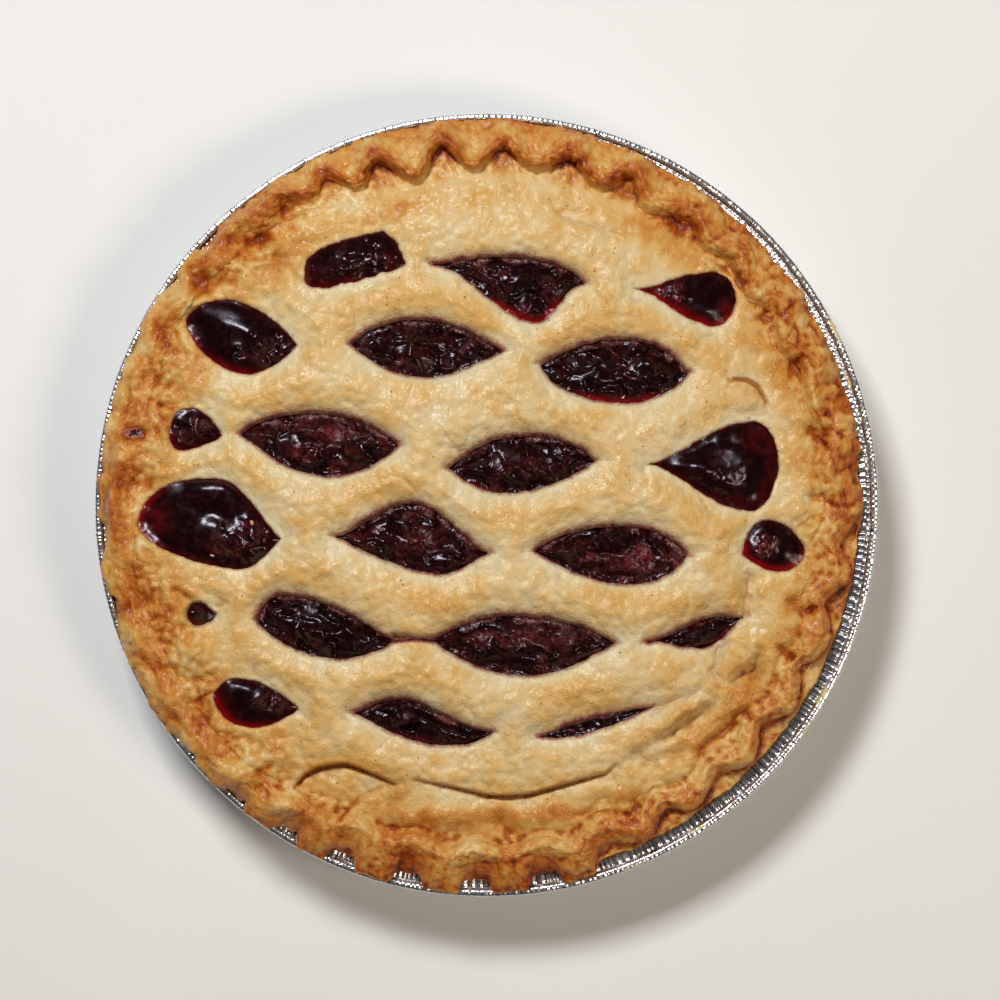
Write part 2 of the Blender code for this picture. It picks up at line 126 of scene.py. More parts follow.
def noise(p, size, seed):
    """Gradient noise at the points p (n, 3), about -1..1, `size` mm a cell."""
    q = p / np.asarray(size, float)
    base = np.floor(q)
    f = q - base
    u = f * f * f * (f * (f * 6 - 15) + 10)
    out = np.zeros(len(p))
    for k in range(8):
        d = np.array([k & 1, (k >> 1) & 1, (k >> 2) & 1])
        c = base + d
        h = hashed(c[:, 0], c[:, 1], c[:, 2], seed)
        az = (h & np.uint32(0xFFFF)) / 65535.0 * 2 * math.pi
        el = (h >> np.uint32(16)) / 65535.0 * 2 - 1
        s = np.sqrt(np.maximum(0, 1 - el * el))
        v = f - d
        dot = v[:, 0] * np.cos(az) * s + v[:, 1] * np.sin(az) * s + v[:, 2] * el
        w = np.prod(np.where(d == 1, u, 1 - u), axis=1)
        out += w * dot
    return out * 1.6


def fbm(p, size, seed, octaves=3, gain=0.5):
    out, amp = np.zeros(len(p)), 1.0
    size = np.asarray(size, float)
    for k in range(octaves):
        out += amp * noise(p, size / 2 ** k, seed + 17 * k)
        amp *= gain
    return out


def cells(p, size, seed):
    """Distance to the nearest and second nearest scattered point, in cells."""
    q = p / size
    base = np.floor(q)
    one = np.full(len(p), 9.0)
    two = np.full(len(p), 9.0)
    for dx in (-1, 0, 1):
        for dy in (-1, 0, 1):
            c = base + (dx, dy, 0)
            h = hashed(c[:, 0], c[:, 1], np.zeros(len(p)), seed)
            px = c[:, 0] + (h & np.uint32(0xFFFF)) / 65535.0
            py = c[:, 1] + (h >> np.uint32(16)) / 65535.0
            d = np.hypot(q[:, 0] - px, q[:, 1] - py)
            two = np.where(d < one, one, np.minimum(two, d))
            one = np.minimum(one, d)
    return one, two


def facets(p, size, seed, tilt=0.6, sharp=13.0):
    """Blend of small tilted planes, each round a scattered point, and a tone each."""
    scale = float(np.mean(size))
    q = p / np.asarray(size, float)
    base = np.floor(q)
    total, weight, tone = (np.zeros(len(p)) for _ in range(3))
    for dx in (-1, 0, 1):
        for dy in (-1, 0, 1):
            c = base + (dx, dy, 0)
            h = hashed(c[:, 0], c[:, 1], np.zeros(len(p)), seed)
            g = hashed(c[:, 0], c[:, 1], np.zeros(len(p)), seed + 7)
            u = q[:, 0] - c[:, 0] - (h & np.uint32(0xFFFF)) / 65535.0
            v = q[:, 1] - c[:, 1] - (h >> np.uint32(16)) / 65535.0
            az = (g & np.uint32(0xFFFF)) / 65535.0 * 2 * math.pi
            m = (g >> np.uint32(16)) / 65535.0
            w = np.exp(-sharp * (u * u + v * v))
            total += w * (m * (u * np.cos(az) + v * np.sin(az)) + 0.35 * (m - 0.5)) * tilt * scale
            tone += w * ((g & np.uint32(0xFF)) / 255.0)
            weight += w
    return total / weight, tone / weight


def flat3(x, y):
    return np.stack([x, y, np.zeros_like(x)], 1)


# ---- shape of the dome -------------------------------------------------------
def left_side(deg):
    off = np.abs((deg - 178.0 + 180.0) % 360.0 - 180.0)
    return 1.0 - smooth(45.0, 75.0, off)


def valley_r(deg):
    return 97.2 + 7.2 * left_side(deg)


def seam_r(deg):
    out = 3.9 * np.exp(-((deg % 360 - 43.5) / 6.0) ** 2) + 1.0 * np.exp(-((deg % 360 - 148.0) / 7.0) ** 2)
    return 93.6 + 8.7 * left_side(deg) + out


# how deep the groove inside the fluted edge is, by compass angle
SINK = ((0, .35), (20, .55), (50, .9), (110, 1.0), (128, .9), (142, .55), (156, .3), (206, .3),
        (225, .6), (242, .9), (262, 1.0), (280, .75), (296, .25), (345, .15), (360, .35))
# how far the crest swings in and out between dents and lobes, and its mean place
SWINGS = ((0, 1.7), (25, 2.1), (45, 2.4), (64, 3.0), (80, 3.9), (112, 3.9), (124, 3.2), (136, 2.2),
          (150, 1.6), (210, 1.6), (235, 1.6), (285, 1.7), (300, 2.2), (345, 2.2), (360, 1.7))
STANDS = ((0, 0), (40, .6), (66, 2.3), (114, 2.3), (128, 1.0), (146, 0), (360, 0))
FILL_UP = 3.1


def lift(deg):
    """How far the groove inside the edge is filled up, in mm."""
    return FILL_UP * (1 - np.interp(deg % 360, *np.array(SINK).T))


def dome(x, y):
    r = np.hypot(x, y)
    rho = np.minimum(1.0, r / valley_r(np.degrees(np.arctan2(y, x))))
    return VALLEY_Z + DOME * (1.0 - rho ** DOME_POWER) ** 0.8


# ---- slot outlines -----------------------------------------------------------
def bow(t, height, at, full_l, full_r):
    left = t <= at
    s = np.where(left, t / at, (1.0 - t) / (1.0 - at))
    full = np.where(left, full_l, full_r)
    return height * (1.0 - (1.0 - np.clip(s, 0, 1)) ** 2) ** full


def resample(loop, step):
    closed = np.vstack([loop, loop[:1]])
    seg = np.hypot(*np.diff(closed, axis=0).T)
    at = np.concatenate([[0], np.cumsum(seg)])
    n = max(12, int(round(at[-1] / step)))
    want = np.arange(n) * at[-1] / n
    return np.stack([np.interp(want, at, closed[:, i]) for i in (0, 1)], 1)


def outline(name):
    """Outline of a slot, counter-clockwise from its left tip, and its lip side."""
    left, right, upper, lower = SLOTS[name]
    axis = np.array(right, float) - left
    length = np.hypot(*axis)
    axis /= length
    side = np.array([-axis[1], axis[0]])
    t = 0.5 - 0.5 * np.cos(np.pi * np.arange(400) / 400)
    low = np.array(left) + np.outer(t * length, axis) - np.outer(bow(t, *lower), side)
    t = 1 - t
    high = np.array(left) + np.outer(t * length, axis) + np.outer(bow(t, *upper), side)
    loop = resample(np.vstack([low, high]) * LID_SCALE, EDGE_STEP)
    # torn, slightly uneven lip
    nxt, prv = np.roll(loop, -1, 0), np.roll(loop, 1, 0)
    tan = nxt - prv
    tan /= np.maximum(1e-9, np.hypot(*tan.T))[:, None]
    nor = np.stack([tan[:, 1], -tan[:, 0]], 1)
    p = flat3(loop[:, 0], loop[:, 1])
    wob = (0.26 * noise(p, 3.6, 5) + 0.15 * noise(p, 1.5, 6)) * TORN.get(name, 1.0)
    turn = np.abs(tan[:, 0] * np.roll(tan, -3, 0)[:, 1] - tan[:, 1] * np.roll(tan, -3, 0)[:, 0])
    wob *= 1 - smooth(0.3, 0.7, turn)
    return loop + nor * wob[:, None]


def inside(x, y, loop):
    hit = np.zeros(len(x), bool)
    a, b = loop, np.roll(loop, -1, 0)
    for (x0, y0), (x1, y1) in zip(a, b):
        if y0 == y1:
            continue
        span = (y0 > y) != (y1 > y)
        hit ^= span & (x < (x1 - x0) * (y - y0) / (y1 - y0) + x0)
    return hit


def to_line(x, y, line, closed=False):
    """Distance to a polyline, signed side (+ left of travel) and place along it."""
    a = line if closed else line[:-1]
    b = np.roll(line, -1, 0) if closed else line[1:]
    best = np.full(len(x), 1e9)
    side = np.zeros(len(x))
    along = np.zeros(len(x))
    seg = np.hypot(*(b - a).T)
    start = np.concatenate([[0], np.cumsum(seg)])
    for k in range(len(a)):
        dx, dy = b[k] - a[k]
        px, py = x - a[k][0], y - a[k][1]
        t = np.clip((px * dx + py * dy) / max(1e-12, dx * dx + dy * dy), 0, 1)
        d = np.hypot(px - t * dx, py - t * dy)
        near = d < best
        best = np.where(near, d, best)
        side = np.where(near, np.sign(dx * py - dy * px), side)
        along = np.where(near, start[k] + t * seg[k], along)
    return best, side, along / start[-1]


LOOPS = {n: outline(n) for n in SLOTS}


def slot_field(x, y, reach=16.0):
    """Nearest slot's distance, which slot, and +1 over / -1 under its axis."""
    near = np.full(len(x), 60.0)
    which = np.full(len(x), -1)
    over = np.ones(len(x))
    for k, (name, loop) in enumerate(LOOPS.items()):
        lo, hi = loop.min(0) - reach, loop.max(0) + reach
        m = np.flatnonzero((x > lo[0]) & (x < hi[0]) & (y > lo[1]) & (y < hi[1]))
        if not len(m):
            continue
        d, _, _ = to_line(x[m], y[m], loop[::2] if len(loop) > 60 else loop, closed=True)
        closer = d < near[m]
        mm = m[closer]
        near[mm] = d[closer]
        which[mm] = k
        left, right = np.array(SLOTS[name][0]) * LID_SCALE, np.array(SLOTS[name][1]) * LID_SCALE
        ax = right - left
        over[mm] = np.sign(ax[0] * (y[mm] - left[1]) - ax[1] * (x[mm] - left[0]))
    return near, which, over


# ---- folds, cracks, lumps of the dough (photo-plane mm, drawn in by LID_SCALE) -
# line, depth of the drop, how far the low side takes to rise again, width of
# the rolled high side, sharpness; the low side is on the left of travel
FOLDS = (
    (((-25.7, -82.5), (-29, -81.3), (-33, -79.5), (-38, -77.5), (-42, -76.3), (-46, -76.8),
      (-50, -77.7), (-53.5, -79.7), (-57, -83.7)), -3.4, 7.0, 1.2, 1.0),
    (((38.5, -75.8), (35, -79), (30, -80.3), (24, -82), (18, -83.7), (12, -85.3), (6, -85.8),
      (0, -85.5), (-10, -83), (-22, -80.5)), -2.7, 5.0, 1.2, 1.0),
    (((-63.5, 72.5), (-57.5, 70), (-52.5, 64.5)), -1.6, 5.0, 1.2, .2),
    (((-43, -93), (-40.5, -90), (-37, -86.3), (-31, -83.5), (-24, -81.5)), -1.8, 4.0, 2.2, .25),
    (((18.5, 90), (20, 86.5), (23, 84), (31, 81.8), (38, 80.2), (44, 79.5)), -1.7, 6.0, 2.2, .15),
    (((70.6, 35.9), (72.7, 36.9), (76.4, 36.6), (79.6, 34.8), (81.9, 30.9), (82.6, 28.4)), -2.3, 3.2, 1.5, 1.0),
)
# thin cracks: line, width, depth
CRACKS = (
    (((-33, -39.6), (-24, -38.6), (-20, -39), (-8, -40.2)), 1.0, 3.6),
    (((-68, -77), (-65.5, -80.5), (-64, -82), (-58, -84)), 0.6, 0.5),
    (((-93, -24), (-89, -26), (-86, -28.5)), 0.8, 1.6),
    (((-80, -30), (-75, -28.5)), 0.6, 1.2),
    (((-90, -36), (-86, -35)), 0.5, 0.8),
    (((-97, 30), (-93, 28.6), (-90, 28)), 0.6, 1.3),
    (((-86, -58), (-80, -54.5)), 0.7, 1.2),
    (((18.5, 85.5), (24, 87), (30, 87)), 0.6, 0.8),
    (((67.5, -53.3), (70.5, -53.3)), 0.7, 1.2),
    (((45, -76.5), (48.5, -76.2), (52, -77.5)), 0.8, 1.3),
    (((91.5, 47), (91, 54)), 0.6, 1.0),
    (((-15, 24), (-9, 17), (-5, 12)), 0.42, 0.7), (((36, 6), (44, 2)), 0.42, 0.7),
    (((-24, 8), (-20, 3)), 0.42, 0.7), (((8, 30), (10, 24)), 0.42, 0.7),
    (((61, 5), (66, -3)), 0.42, 0.7), (((-4, -72), (-8, -78)), 0.42, 0.7),
    (((-29, 63), (-28, 56)), 0.42, 0.7), (((32, 62), (37, 58)), 0.42, 0.7),
)
# soft creases between rolls of dough: line, width, depth
CREASES = (
    (((77.5, -18), (76.8, -26), (76, -34)), 2.4, 1.5),
    (((70.9, -38.3), (68, -44), (66.8, -48.2), (69, -53.5)), 1.5, 1.5),
    (((80.5, -40.6), (79.6, -45), (78.2, -49.7), (73, -52)), 1.5, 1.5),
    (((65.2, -52.7), (56, -57.5), (44.7, -63.5)), 1.5, 1.1),
    (((69.8, -56.6), (60, -63.5), (49.3, -71)), 1.6, 1.6),
    (((78.2, -58.8), (70, -66), (59.9, -74.9)), 1.5, 1.4),
    (((99.7, 33), (100.9, 29.5), (99, 25)), 2.2, 0.7),
    (((92, 22), (97.4, 20.2), (100.9, 17.8)), 2.2, 0.8),
    (((93, 3), (99.1, 1.4), (103, 0.2)), 2.2, 0.8),
    (((-72, 71.5), (-64, 73), (-58, 72.5)), 1.3, 1.0),
    (((69, -53.5), (75, -50.5), (82.8, -46.7)), 1.6, 1.5),
    (((87.1, -27.5), (93.2, -31.3), (97.7, -29.4)), 1.8, 1.3),
    (((85.6, -41.2), (90.2, -45.7)), 1.6, 1.1),
    (((2, -91), (6, -96), (7, -100)), 2.2, 1.3),
    (((40, -73), (48, -75), (56, -73), (62, -71)), 2.0, 1.2),
    (((24, -93), (32, -88), (40, -84)), 2.0, 1.0),
    (((99, -2), (92, -6), (88, -12)), 1.8, 0.9),
)


def crumple(x, y):
    """Height change from folds and cracks, and how much painted shade and browning lies along them."""
    dz = np.zeros(len(x))
    crease_shade_and_browning = np.zeros(len(x))
    for line, drop, low, high, sharp in FOLDS:
        line = np.array(line) * LID_SCALE
        lo, hi = line.min(0) - 14, line.max(0) + 14
        m = np.flatnonzero((x > lo[0]) & (x < hi[0]) & (y > lo[1]) & (y < hi[1]))
        if not len(m):
            continue
        d, side, along = to_line(x[m], y[m], line)
        ends = np.sin(np.pi * np.clip(along, 0.0, 1.0)) ** 0.45
        ends = np.where((along <= 0) | (along >= 1), 0.0, ends)
        below = side > 0
        dip = drop * np.exp(-(d / low) ** 1.3)
        roll = drop * 0.9 * (1 - np.sqrt(np.clip(1 - (1 - np.clip(d / high, 0, 1)) ** 2, 0, 1)))
        slit = drop * 0.55 * sharp * np.exp(-(d / 0.55) ** 2)
        dz[m] += ends * (np.where(below, dip, roll) + slit)
        # painted shadow along each fold, wider on its low side, under the rolled high side
        shade = np.where(below, np.exp(-(d / 0.9) ** 2), np.exp(-(d / 0.55) ** 2))
        crease_shade_and_browning[m] = np.maximum(crease_shade_and_browning[m], 1.4 * sharp * ends * shade)
    for line, width, depth in CRACKS:
        line = np.array(line) * LID_SCALE
        lo, hi = line.min(0) - 5, line.max(0) + 5
        m = np.flatnonzero((x > lo[0]) & (x < hi[0]) & (y > lo[1]) & (y < hi[1]))
        if not len(m):
            continue
        pm = flat3(x[m], y[m])
        jig = 0.55 * noise(pm, 3.2, 41) + 0.35 * noise(pm, 1.3, 42)
        d, side, along = to_line(x[m] + jig, y[m] - 0.8 * jig, line)
        ends = np.clip(np.minimum(along, 1 - along) * 5, 0, 1) ** 0.7
        ends = ends * np.clip(0.8 + 0.6 * noise(pm, 2.6, 43), 0.15, 1.2)
        g = np.exp(-(d / width) ** 2)
        dz[m] -= ends * depth * g
        crease_shade_and_browning[m] = np.maximum(crease_shade_and_browning[m], ends * np.exp(-(d / (0.8 * width)) ** 2) * min(1.0, 0.35 + 0.3 * depth))
    for line, width, depth in CREASES:
        line = np.array(line) * LID_SCALE
        lo, hi = line.min(0) - 8, line.max(0) + 8
        m = np.flatnonzero((x > lo[0]) & (x < hi[0]) & (y > lo[1]) & (y < hi[1]))
        if not len(m):
            continue
        pm = flat3(x[m], y[m])
        jig = 0.9 * noise(pm, 4.5, 44) + 0.4 * noise(pm, 1.8, 45)
        d, side, along = to_line(x[m] + jig, y[m] - 0.8 * jig, line)
        ends = np.clip(np.minimum(along, 1 - along) * 4, 0, 1)
        dz[m] -= 1.75 * ends * depth * (np.exp(-(d / (1.2 * width)) ** 2) + 0.22 * np.exp(-(d / 0.6) ** 2))
        crease_shade_and_browning[m] = np.maximum(crease_shade_and_browning[m], 0.10 * min(1.0, depth) * ends * np.exp(-(d / 1.2) ** 2))
    return dz, crease_shade_and_browning


# lumps and dents of the dough: x, y, half sizes, turn, height
LUMPS = (
    (-110, 0, 4, 6, 0, 1.6), (-106, 15, 5, 6, 0, 1.4), (-72, -78, 6, 5, 40, 1.5),
    (36, 84, 7, 4, -20, 1.3), (5, 96, 6, 3, 0, 1.2), (-104, 21, 3, 2, 0, -0.9),
    (-84.5, 65, 4, 2.8, 35, -1.5), (-67, 78, 4.6, 2.6, 15, -1.7), (-58, 87, 4, 2.4, 20, -1.2),
    (-49, 98.5, 3, 2, 20, -1.4), (-98.6, 36.8, 4, 2.4, 30, -0.9), (91, 40, 3.5, 2.4, 70, -1.8),
    (82, 56, 3, 2.2, 60, -1.5), (-66, 72, 7, 4, 35, 1.2), (-84, 76, 4, 3, 40, 1.2),
    (-78.7, 70.7, 6, 3.4, 40, 1.7), (-74, 83, 7, 3.2, 38, 1.8), (-60, 92, 7, 3, 25, 1.5), (-88, 62, 4, 5, 40, 1.3),
    (-92, 57, 5, 3, 60, 1.0), (-99, 46, 4, 4, 0, 1.0), (-100, 4, 4, 6, 0, -1.0),
    (-104, -14, 5, 5, 0, 1.3), (-100, -27, 4, 4, 0, -1.2), (-104, -40, 5, 4, -20, 1.3),
    (-97, -48, 4, 3, 0, -1.1), (-92, -58, 5, 4, 0, 1.2), (-84, -64, 3, 4, 20, -0.9),
    (-86, -44, 5, 4, 0, 0.9), (-60, -88, 5, 4, 40, 1.3), (-66, -84, 2.4, 3, 40, -1.2),
    (56, -61, 13, 4.2, 27, 1.4), (50, -70, 12, 2.2, 30, -0.9), (60, -74, 10, 3.6, 42, 1.0),
    (83, -46, 4, 6, 20, 1.0), (76, -58, 5, 4, 0, 0.8), (90, -36, 5, 4, 0, 1.0),
    (-20, -91.5, 16, 3.6, 3, 1.7), (14, -92, 8, 3.4, 12, 1.3), (36, -86, 10, 3.4, 25, 1.2),
    (99, 20, 4, 3, 60, -1.2), (96, 30, 5, 4, 60, 1.0), (100, 6, 5, 5, 0, 1.0),
    (86, 48, 5, 4, 50, 1.0), (97, -6, 5, 5, 0, 0.8), (88, 22, 4, 5, 20, -0.8),
    (40, 92, 5, 2.4, -20, -1.4), (56, 82, 4, 2.4, -35, -1.4), (71, 69, 4, 2.4, -45, -1.2),
)


def lumps(x, y):
    dz = np.zeros(len(x))
    for cx, cy, a, b, turn, h in LUMPS:
        c, s = math.cos(math.radians(turn)), math.sin(math.radians(turn))
        px, py = x - cx * LID_SCALE, y - cy * LID_SCALE
        u, v = (px * c + py * s) / a, (-px * s + py * c) / b
        dz += h * np.exp(-(u * u + v * v))
    west = left_side(np.degrees(np.arctan2(y, x))) * smooth(84, 96, np.hypot(x, y))
    return dz * (1 + 0.7 * west)


def terrace(n, steps, sharp=6.0):
    q = n * steps
    f = q - np.floor(q)
    return (np.floor(q) + 1 / (1 + np.exp(-sharp * (f - 0.5)))) / steps


def grain(x, y, amount=1.0):
    """Fine relief of the baked dough: swells, blisters, flaky steps."""
    p = flat3(x, y)
    warp = np.stack([noise(p, 9, 21), noise(p, 9, 22), np.zeros(len(x))], 1)
    q = p + 2.2 * warp
    out = 0.42 * noise(q, 12, 23) + 0.44 * noise(q, 6.5, 24)
    patch = smooth(-0.35, 0.45, noise(p, 11, 33))
    one, two = cells(p + 0.9 * warp, 4.5, 27)
    out += 0.48 * (0.5 - smooth(0.0, 0.95, one))
    one, two = cells(p + 0.6 * warp, 2.7, 30)
    out += (0.28 + 0.32 * patch) * (0.5 - smooth(0.0, 1.0, one))
    one, two = cells(p + 0.3 * warp, 1.6, 31)
    out += (0.04 + 0.07 * patch) * (0.5 - smooth(0.0, 0.9, one))
    out += 0.12 * noise(p, 2.2, 28) + 0.04 * noise(p, 1.25, 29)
    return out * amount


def lid_detail(x, y):
    """Height over the plain dome, with the masks the colours need."""
    near, which, over = slot_field(x, y)
    r = np.hypot(x, y)
    deg = np.degrees(np.arctan2(y, x))
    fade = 1.0 - smooth(78.0, 99.0, r)
    names = list(LOOPS)
    bulging = np.isin(which, [names.index(n) for n in BULGING])
    narrow = np.isin(which, [names.index(n) for n in ("F2", "E0")])
    wide = np.where(over > 0, 4.6, 2.6)
    wide = np.where(bulging, 1.8, wide)
    drop = np.where(over > 0, 3.4, 2.3)
    drop = np.where(bulging, 0.7, drop)
    drop = np.where(narrow, 1.8, drop)
    q = 1 - np.clip(near / wide, 0, 1)
    lip = drop * (1 - np.sqrt(np.clip(1 - q * q, 0, 1)))
    swell = 2.2 * fade * (1 - np.exp(-(near / 5.5) ** 2)) - 0.8 * fade
    swell = swell + lift(deg) * smooth(84, 97, r)
    fold, crease_shade_and_browning = crumple(x, y)
    rough = 1 + 0.6 * left_side(deg) * smooth(80, 98, r)
    fine = grain(x, y) * rough * (0.55 + 0.45 * smooth(0, 3, near))
    return swell - lip + fold + fine + lumps(x, y), near, which, over, crease_shade_and_browning


# ---- meshes ------------------------------------------------------------------
def add_mesh(name, points, faces, attributes=None, normals=None):
    mesh = bpy.data.meshes.new(name)
    co = np.asarray(points, float) * MM + ORIGIN
    tris = [f for f in faces if len(f)]
    mesh.vertices.add(len(co))
    mesh.vertices.foreach_set("co", co.astype(np.float32).ravel())
    sizes = np.concatenate([np.full(len(f), f.shape[1]) for f in tris])
    flat = np.concatenate([f.ravel() for f in tris])
    mesh.loops.add(len(flat))
    mesh.loops.foreach_set("vertex_index", flat.astype(np.int32))
    mesh.polygons.add(len(sizes))
    mesh.polygons.foreach_set("loop_start", (np.cumsum(sizes) - sizes).astype(np.int32))
    mesh.update(calc_edges=True)
    mesh.validate()
    mesh.shade_smooth()
    for key, values in (attributes or {}).items():
        values = np.asarray(values, np.float32)
        if values.ndim == 1:
            mesh.attributes.new(key, "FLOAT", "POINT").data.foreach_set("value", values)
        else:
            mesh.attributes.new(key, "FLOAT_VECTOR", "POINT").data.foreach_set("vector", values.ravel())
    if normals is not None:
        mesh.normals_split_custom_set_from_vertices(normals.astype(np.float32))
    obj = bpy.data.objects.new(name, mesh)
    bpy.context.scene.collection.objects.link(obj)
    return obj


def vertex_normals(points, tris):
    a, b, c = (points[tris[:, i]] for i in range(3))
    n = np.cross(b - a, c - a)
    out = np.zeros_like(points)
    for i in range(3):
        for k in range(3):
            out[:, k] += np.bincount(tris[:, i], n[:, k], len(points))
    return out / np.maximum(1e-12, np.linalg.norm(out, axis=1))[:, None]


def blurred(values, tris, count, rounds):
    """Values averaged over neighbours, `rounds` times."""
    e = np.vstack([tris[:, [0, 1]], tris[:, [1, 2]], tris[:, [2, 0]]])
    e = np.unique(np.sort(e, axis=1), axis=0)
    deg = np.bincount(e.ravel(), minlength=count)
    v = values.copy()
    for _ in range(rounds):
        s = np.bincount(e[:, 0], v[e[:, 1]], count) + np.bincount(e[:, 1], v[e[:, 0]], count)
        v = np.where(deg > 0, 0.4 * v + 0.6 * s / np.maximum(1, deg), v)
    return v


def hex_grid(spacing, lo, hi):
    ys = np.arange(lo[1], hi[1], spacing * 0.8660254)
    xs = np.arange(lo[0], hi[0], spacing)
    gx, gy = np.meshgrid(xs, ys)
    gx = gx + (np.arange(len(ys)) % 2)[:, None] * spacing / 2
    jit = np.random.default_rng(3).uniform(-0.12, 0.12, (2,) + gx.shape) * spacing
    return (gx + jit[0]).ravel(), (gy + jit[1]).ravel()


def triangulate(pts, loops):
    """Delaunay triangles over the plan points, keeping the loops' edges."""
    seams = []
    for lp in loops:
        seams += list(zip(lp, np.roll(lp, -1)))
    seams = [(int(a), int(b)) for a, b in seams]
    verts, _, faces, origin, _, _ = geometry.delaunay_2d_cdt(
        [Vector(p) for p in pts], seams, [], 0, 1e-6)
    back = np.array([o[0] if o else -1 for o in origin])
    tris = back[np.array(faces)]
    return tris[(tris >= 0).all(1)]


def signed_area(pts, tris):
    a, b, c = (pts[tris[:, i]] for i in range(3))
    return ((b[:, 0] - a[:, 0]) * (c[:, 1] - a[:, 1]) - (b[:, 1] - a[:, 1]) * (c[:, 0] - a[:, 0]))


# ---- crust: rim section ------------------------------------------------------
RIM_DEG = np.arange(N_RIM) * 360.0 / N_RIM


def catmull(ctrl, counts):
    """Points on a spline through ctrl[1:-1]; ctrl is (k, n)."""
    out = []
    for i, count in enumerate(counts):
        p0, p1, p2, p3 = ctrl[i], ctrl[i + 1], ctrl[i + 2], ctrl[i + 3]
        for k in range(count):
            t = k / count
            out.append(0.5 * (2 * p1 + (p2 - p0) * t + (2 * p0 - 5 * p1 + 4 * p2 - p3) * t * t
                              + (3 * p1 - p0 - 3 * p2 + p3) * t ** 3))
    out.append(ctrl[len(counts) + 1])
    return np.array(out)


def lobe_phase(deg):
    """Whole numbers at the outward lobes of the edge."""
    a = np.array(LOBES)
    ext = np.concatenate([a - 360, a, a + 360])
    idx = np.arange(len(ext)) - len(a)
    return np.interp(deg, ext, idx)


def per_lobe(phase, seed):
    """A steady random number for each lobe, eased from one to the next."""
    v = np.random.default_rng(seed).uniform(-1, 1, len(LOBES))
    k = np.floor(phase).astype(int)
    f = phase - k
    f = f * f * (3 - 2 * f)
    return v[k % len(LOBES)] * (1 - f) + v[(k + 1) % len(LOBES)] * f


def wall_normal():
    dx, dz = WALL_TOP[0] - BASE_CORNER[0], WALL_TOP[1] - BASE_CORNER[1]
    n = math.hypot(dx, dz)
    return dz / n, -dx / n


def pan_inside(extra=0.0):
    nx, nz = wall_normal()
    d = FOIL + extra
    return [(BASE_R - 0.3 - extra, d), (BASE_CORNER[0] - nx * d, BASE_CORNER[1] - nz * d),
            (WALL_TOP[0] - nx * d * 0.9, WALL_TOP[1] + d * 1.05)]


def rim_weight(x, y):
    turn = np.degrees(np.arctan2(y, x))
    side = left_side(turn)
    east = smooth(-26, -8, turn) * (1 - smooth(44, 58, turn))
    return smooth(93.0 - 9.0 * side - 8.0 * east, 99.0 + 1.0 * side, np.hypot(x, y))


def rim_relief(p, rough):
    """Lumps, creases and blisters of the baked edge at the points p."""
    turn = np.degrees(np.arctan2(p[:, 1], p[:, 0]))
    right = smooth(-22, -6, turn) * (1 - smooth(48, 62, turn))
    lower = smooth(0.3, 0.8, -np.sin(np.radians(turn + 15)))
    warp = np.stack([noise(p, 8, 31), noise(p, 8, 32), noise(p, 8, 33)], 1)
    q = p + 1.6 * warp
    d = (0.30 + 0.50 * rough + 0.15 * right) * noise(q, 8.5, 34) + 0.45 * rough * noise(q, 15, 46)
    deg = np.degrees(np.arctan2(p[:, 1], p[:, 0])) + 1.6 * noise(p, 9, 42)
    d += 0.40 * rough * (np.abs(np.sin(np.pi * lobe_phase(deg % 360))) - 0.6)
    one, two = cells(q, 6.4, 35)
    d += (0.22 + 0.40 * rough + 0.55 * right) * (0.45 - smooth(0.05, 1.0, one))
    d -= (0.03 + 0.03 * rough + 0.12 * right) * (1 - smooth(0.0, 0.2, two - one))
    one, two = cells(q + 3.1, 3.1, 36)
    d += (0.26 + 0.08 * rough + 0.34 * right + 0.08 * lower) * (0.45 - smooth(0.0, 0.9, one))
    patch = smooth(-0.3, 0.4, noise(p, 9, 40))
    one, two = cells(p + 0.4 * warp, 1.55, 37)
    d += (0.12 + 0.22 * patch) * (0.5 - smooth(0.0, 0.9, one))
    d += 0.08 * terrace(noise(q, 3.4, 38), 2.5, 7.0)
    return d + 0.17 * noise(p, 2.0, 39) + 0.15 * noise(p, 1.15, 41)


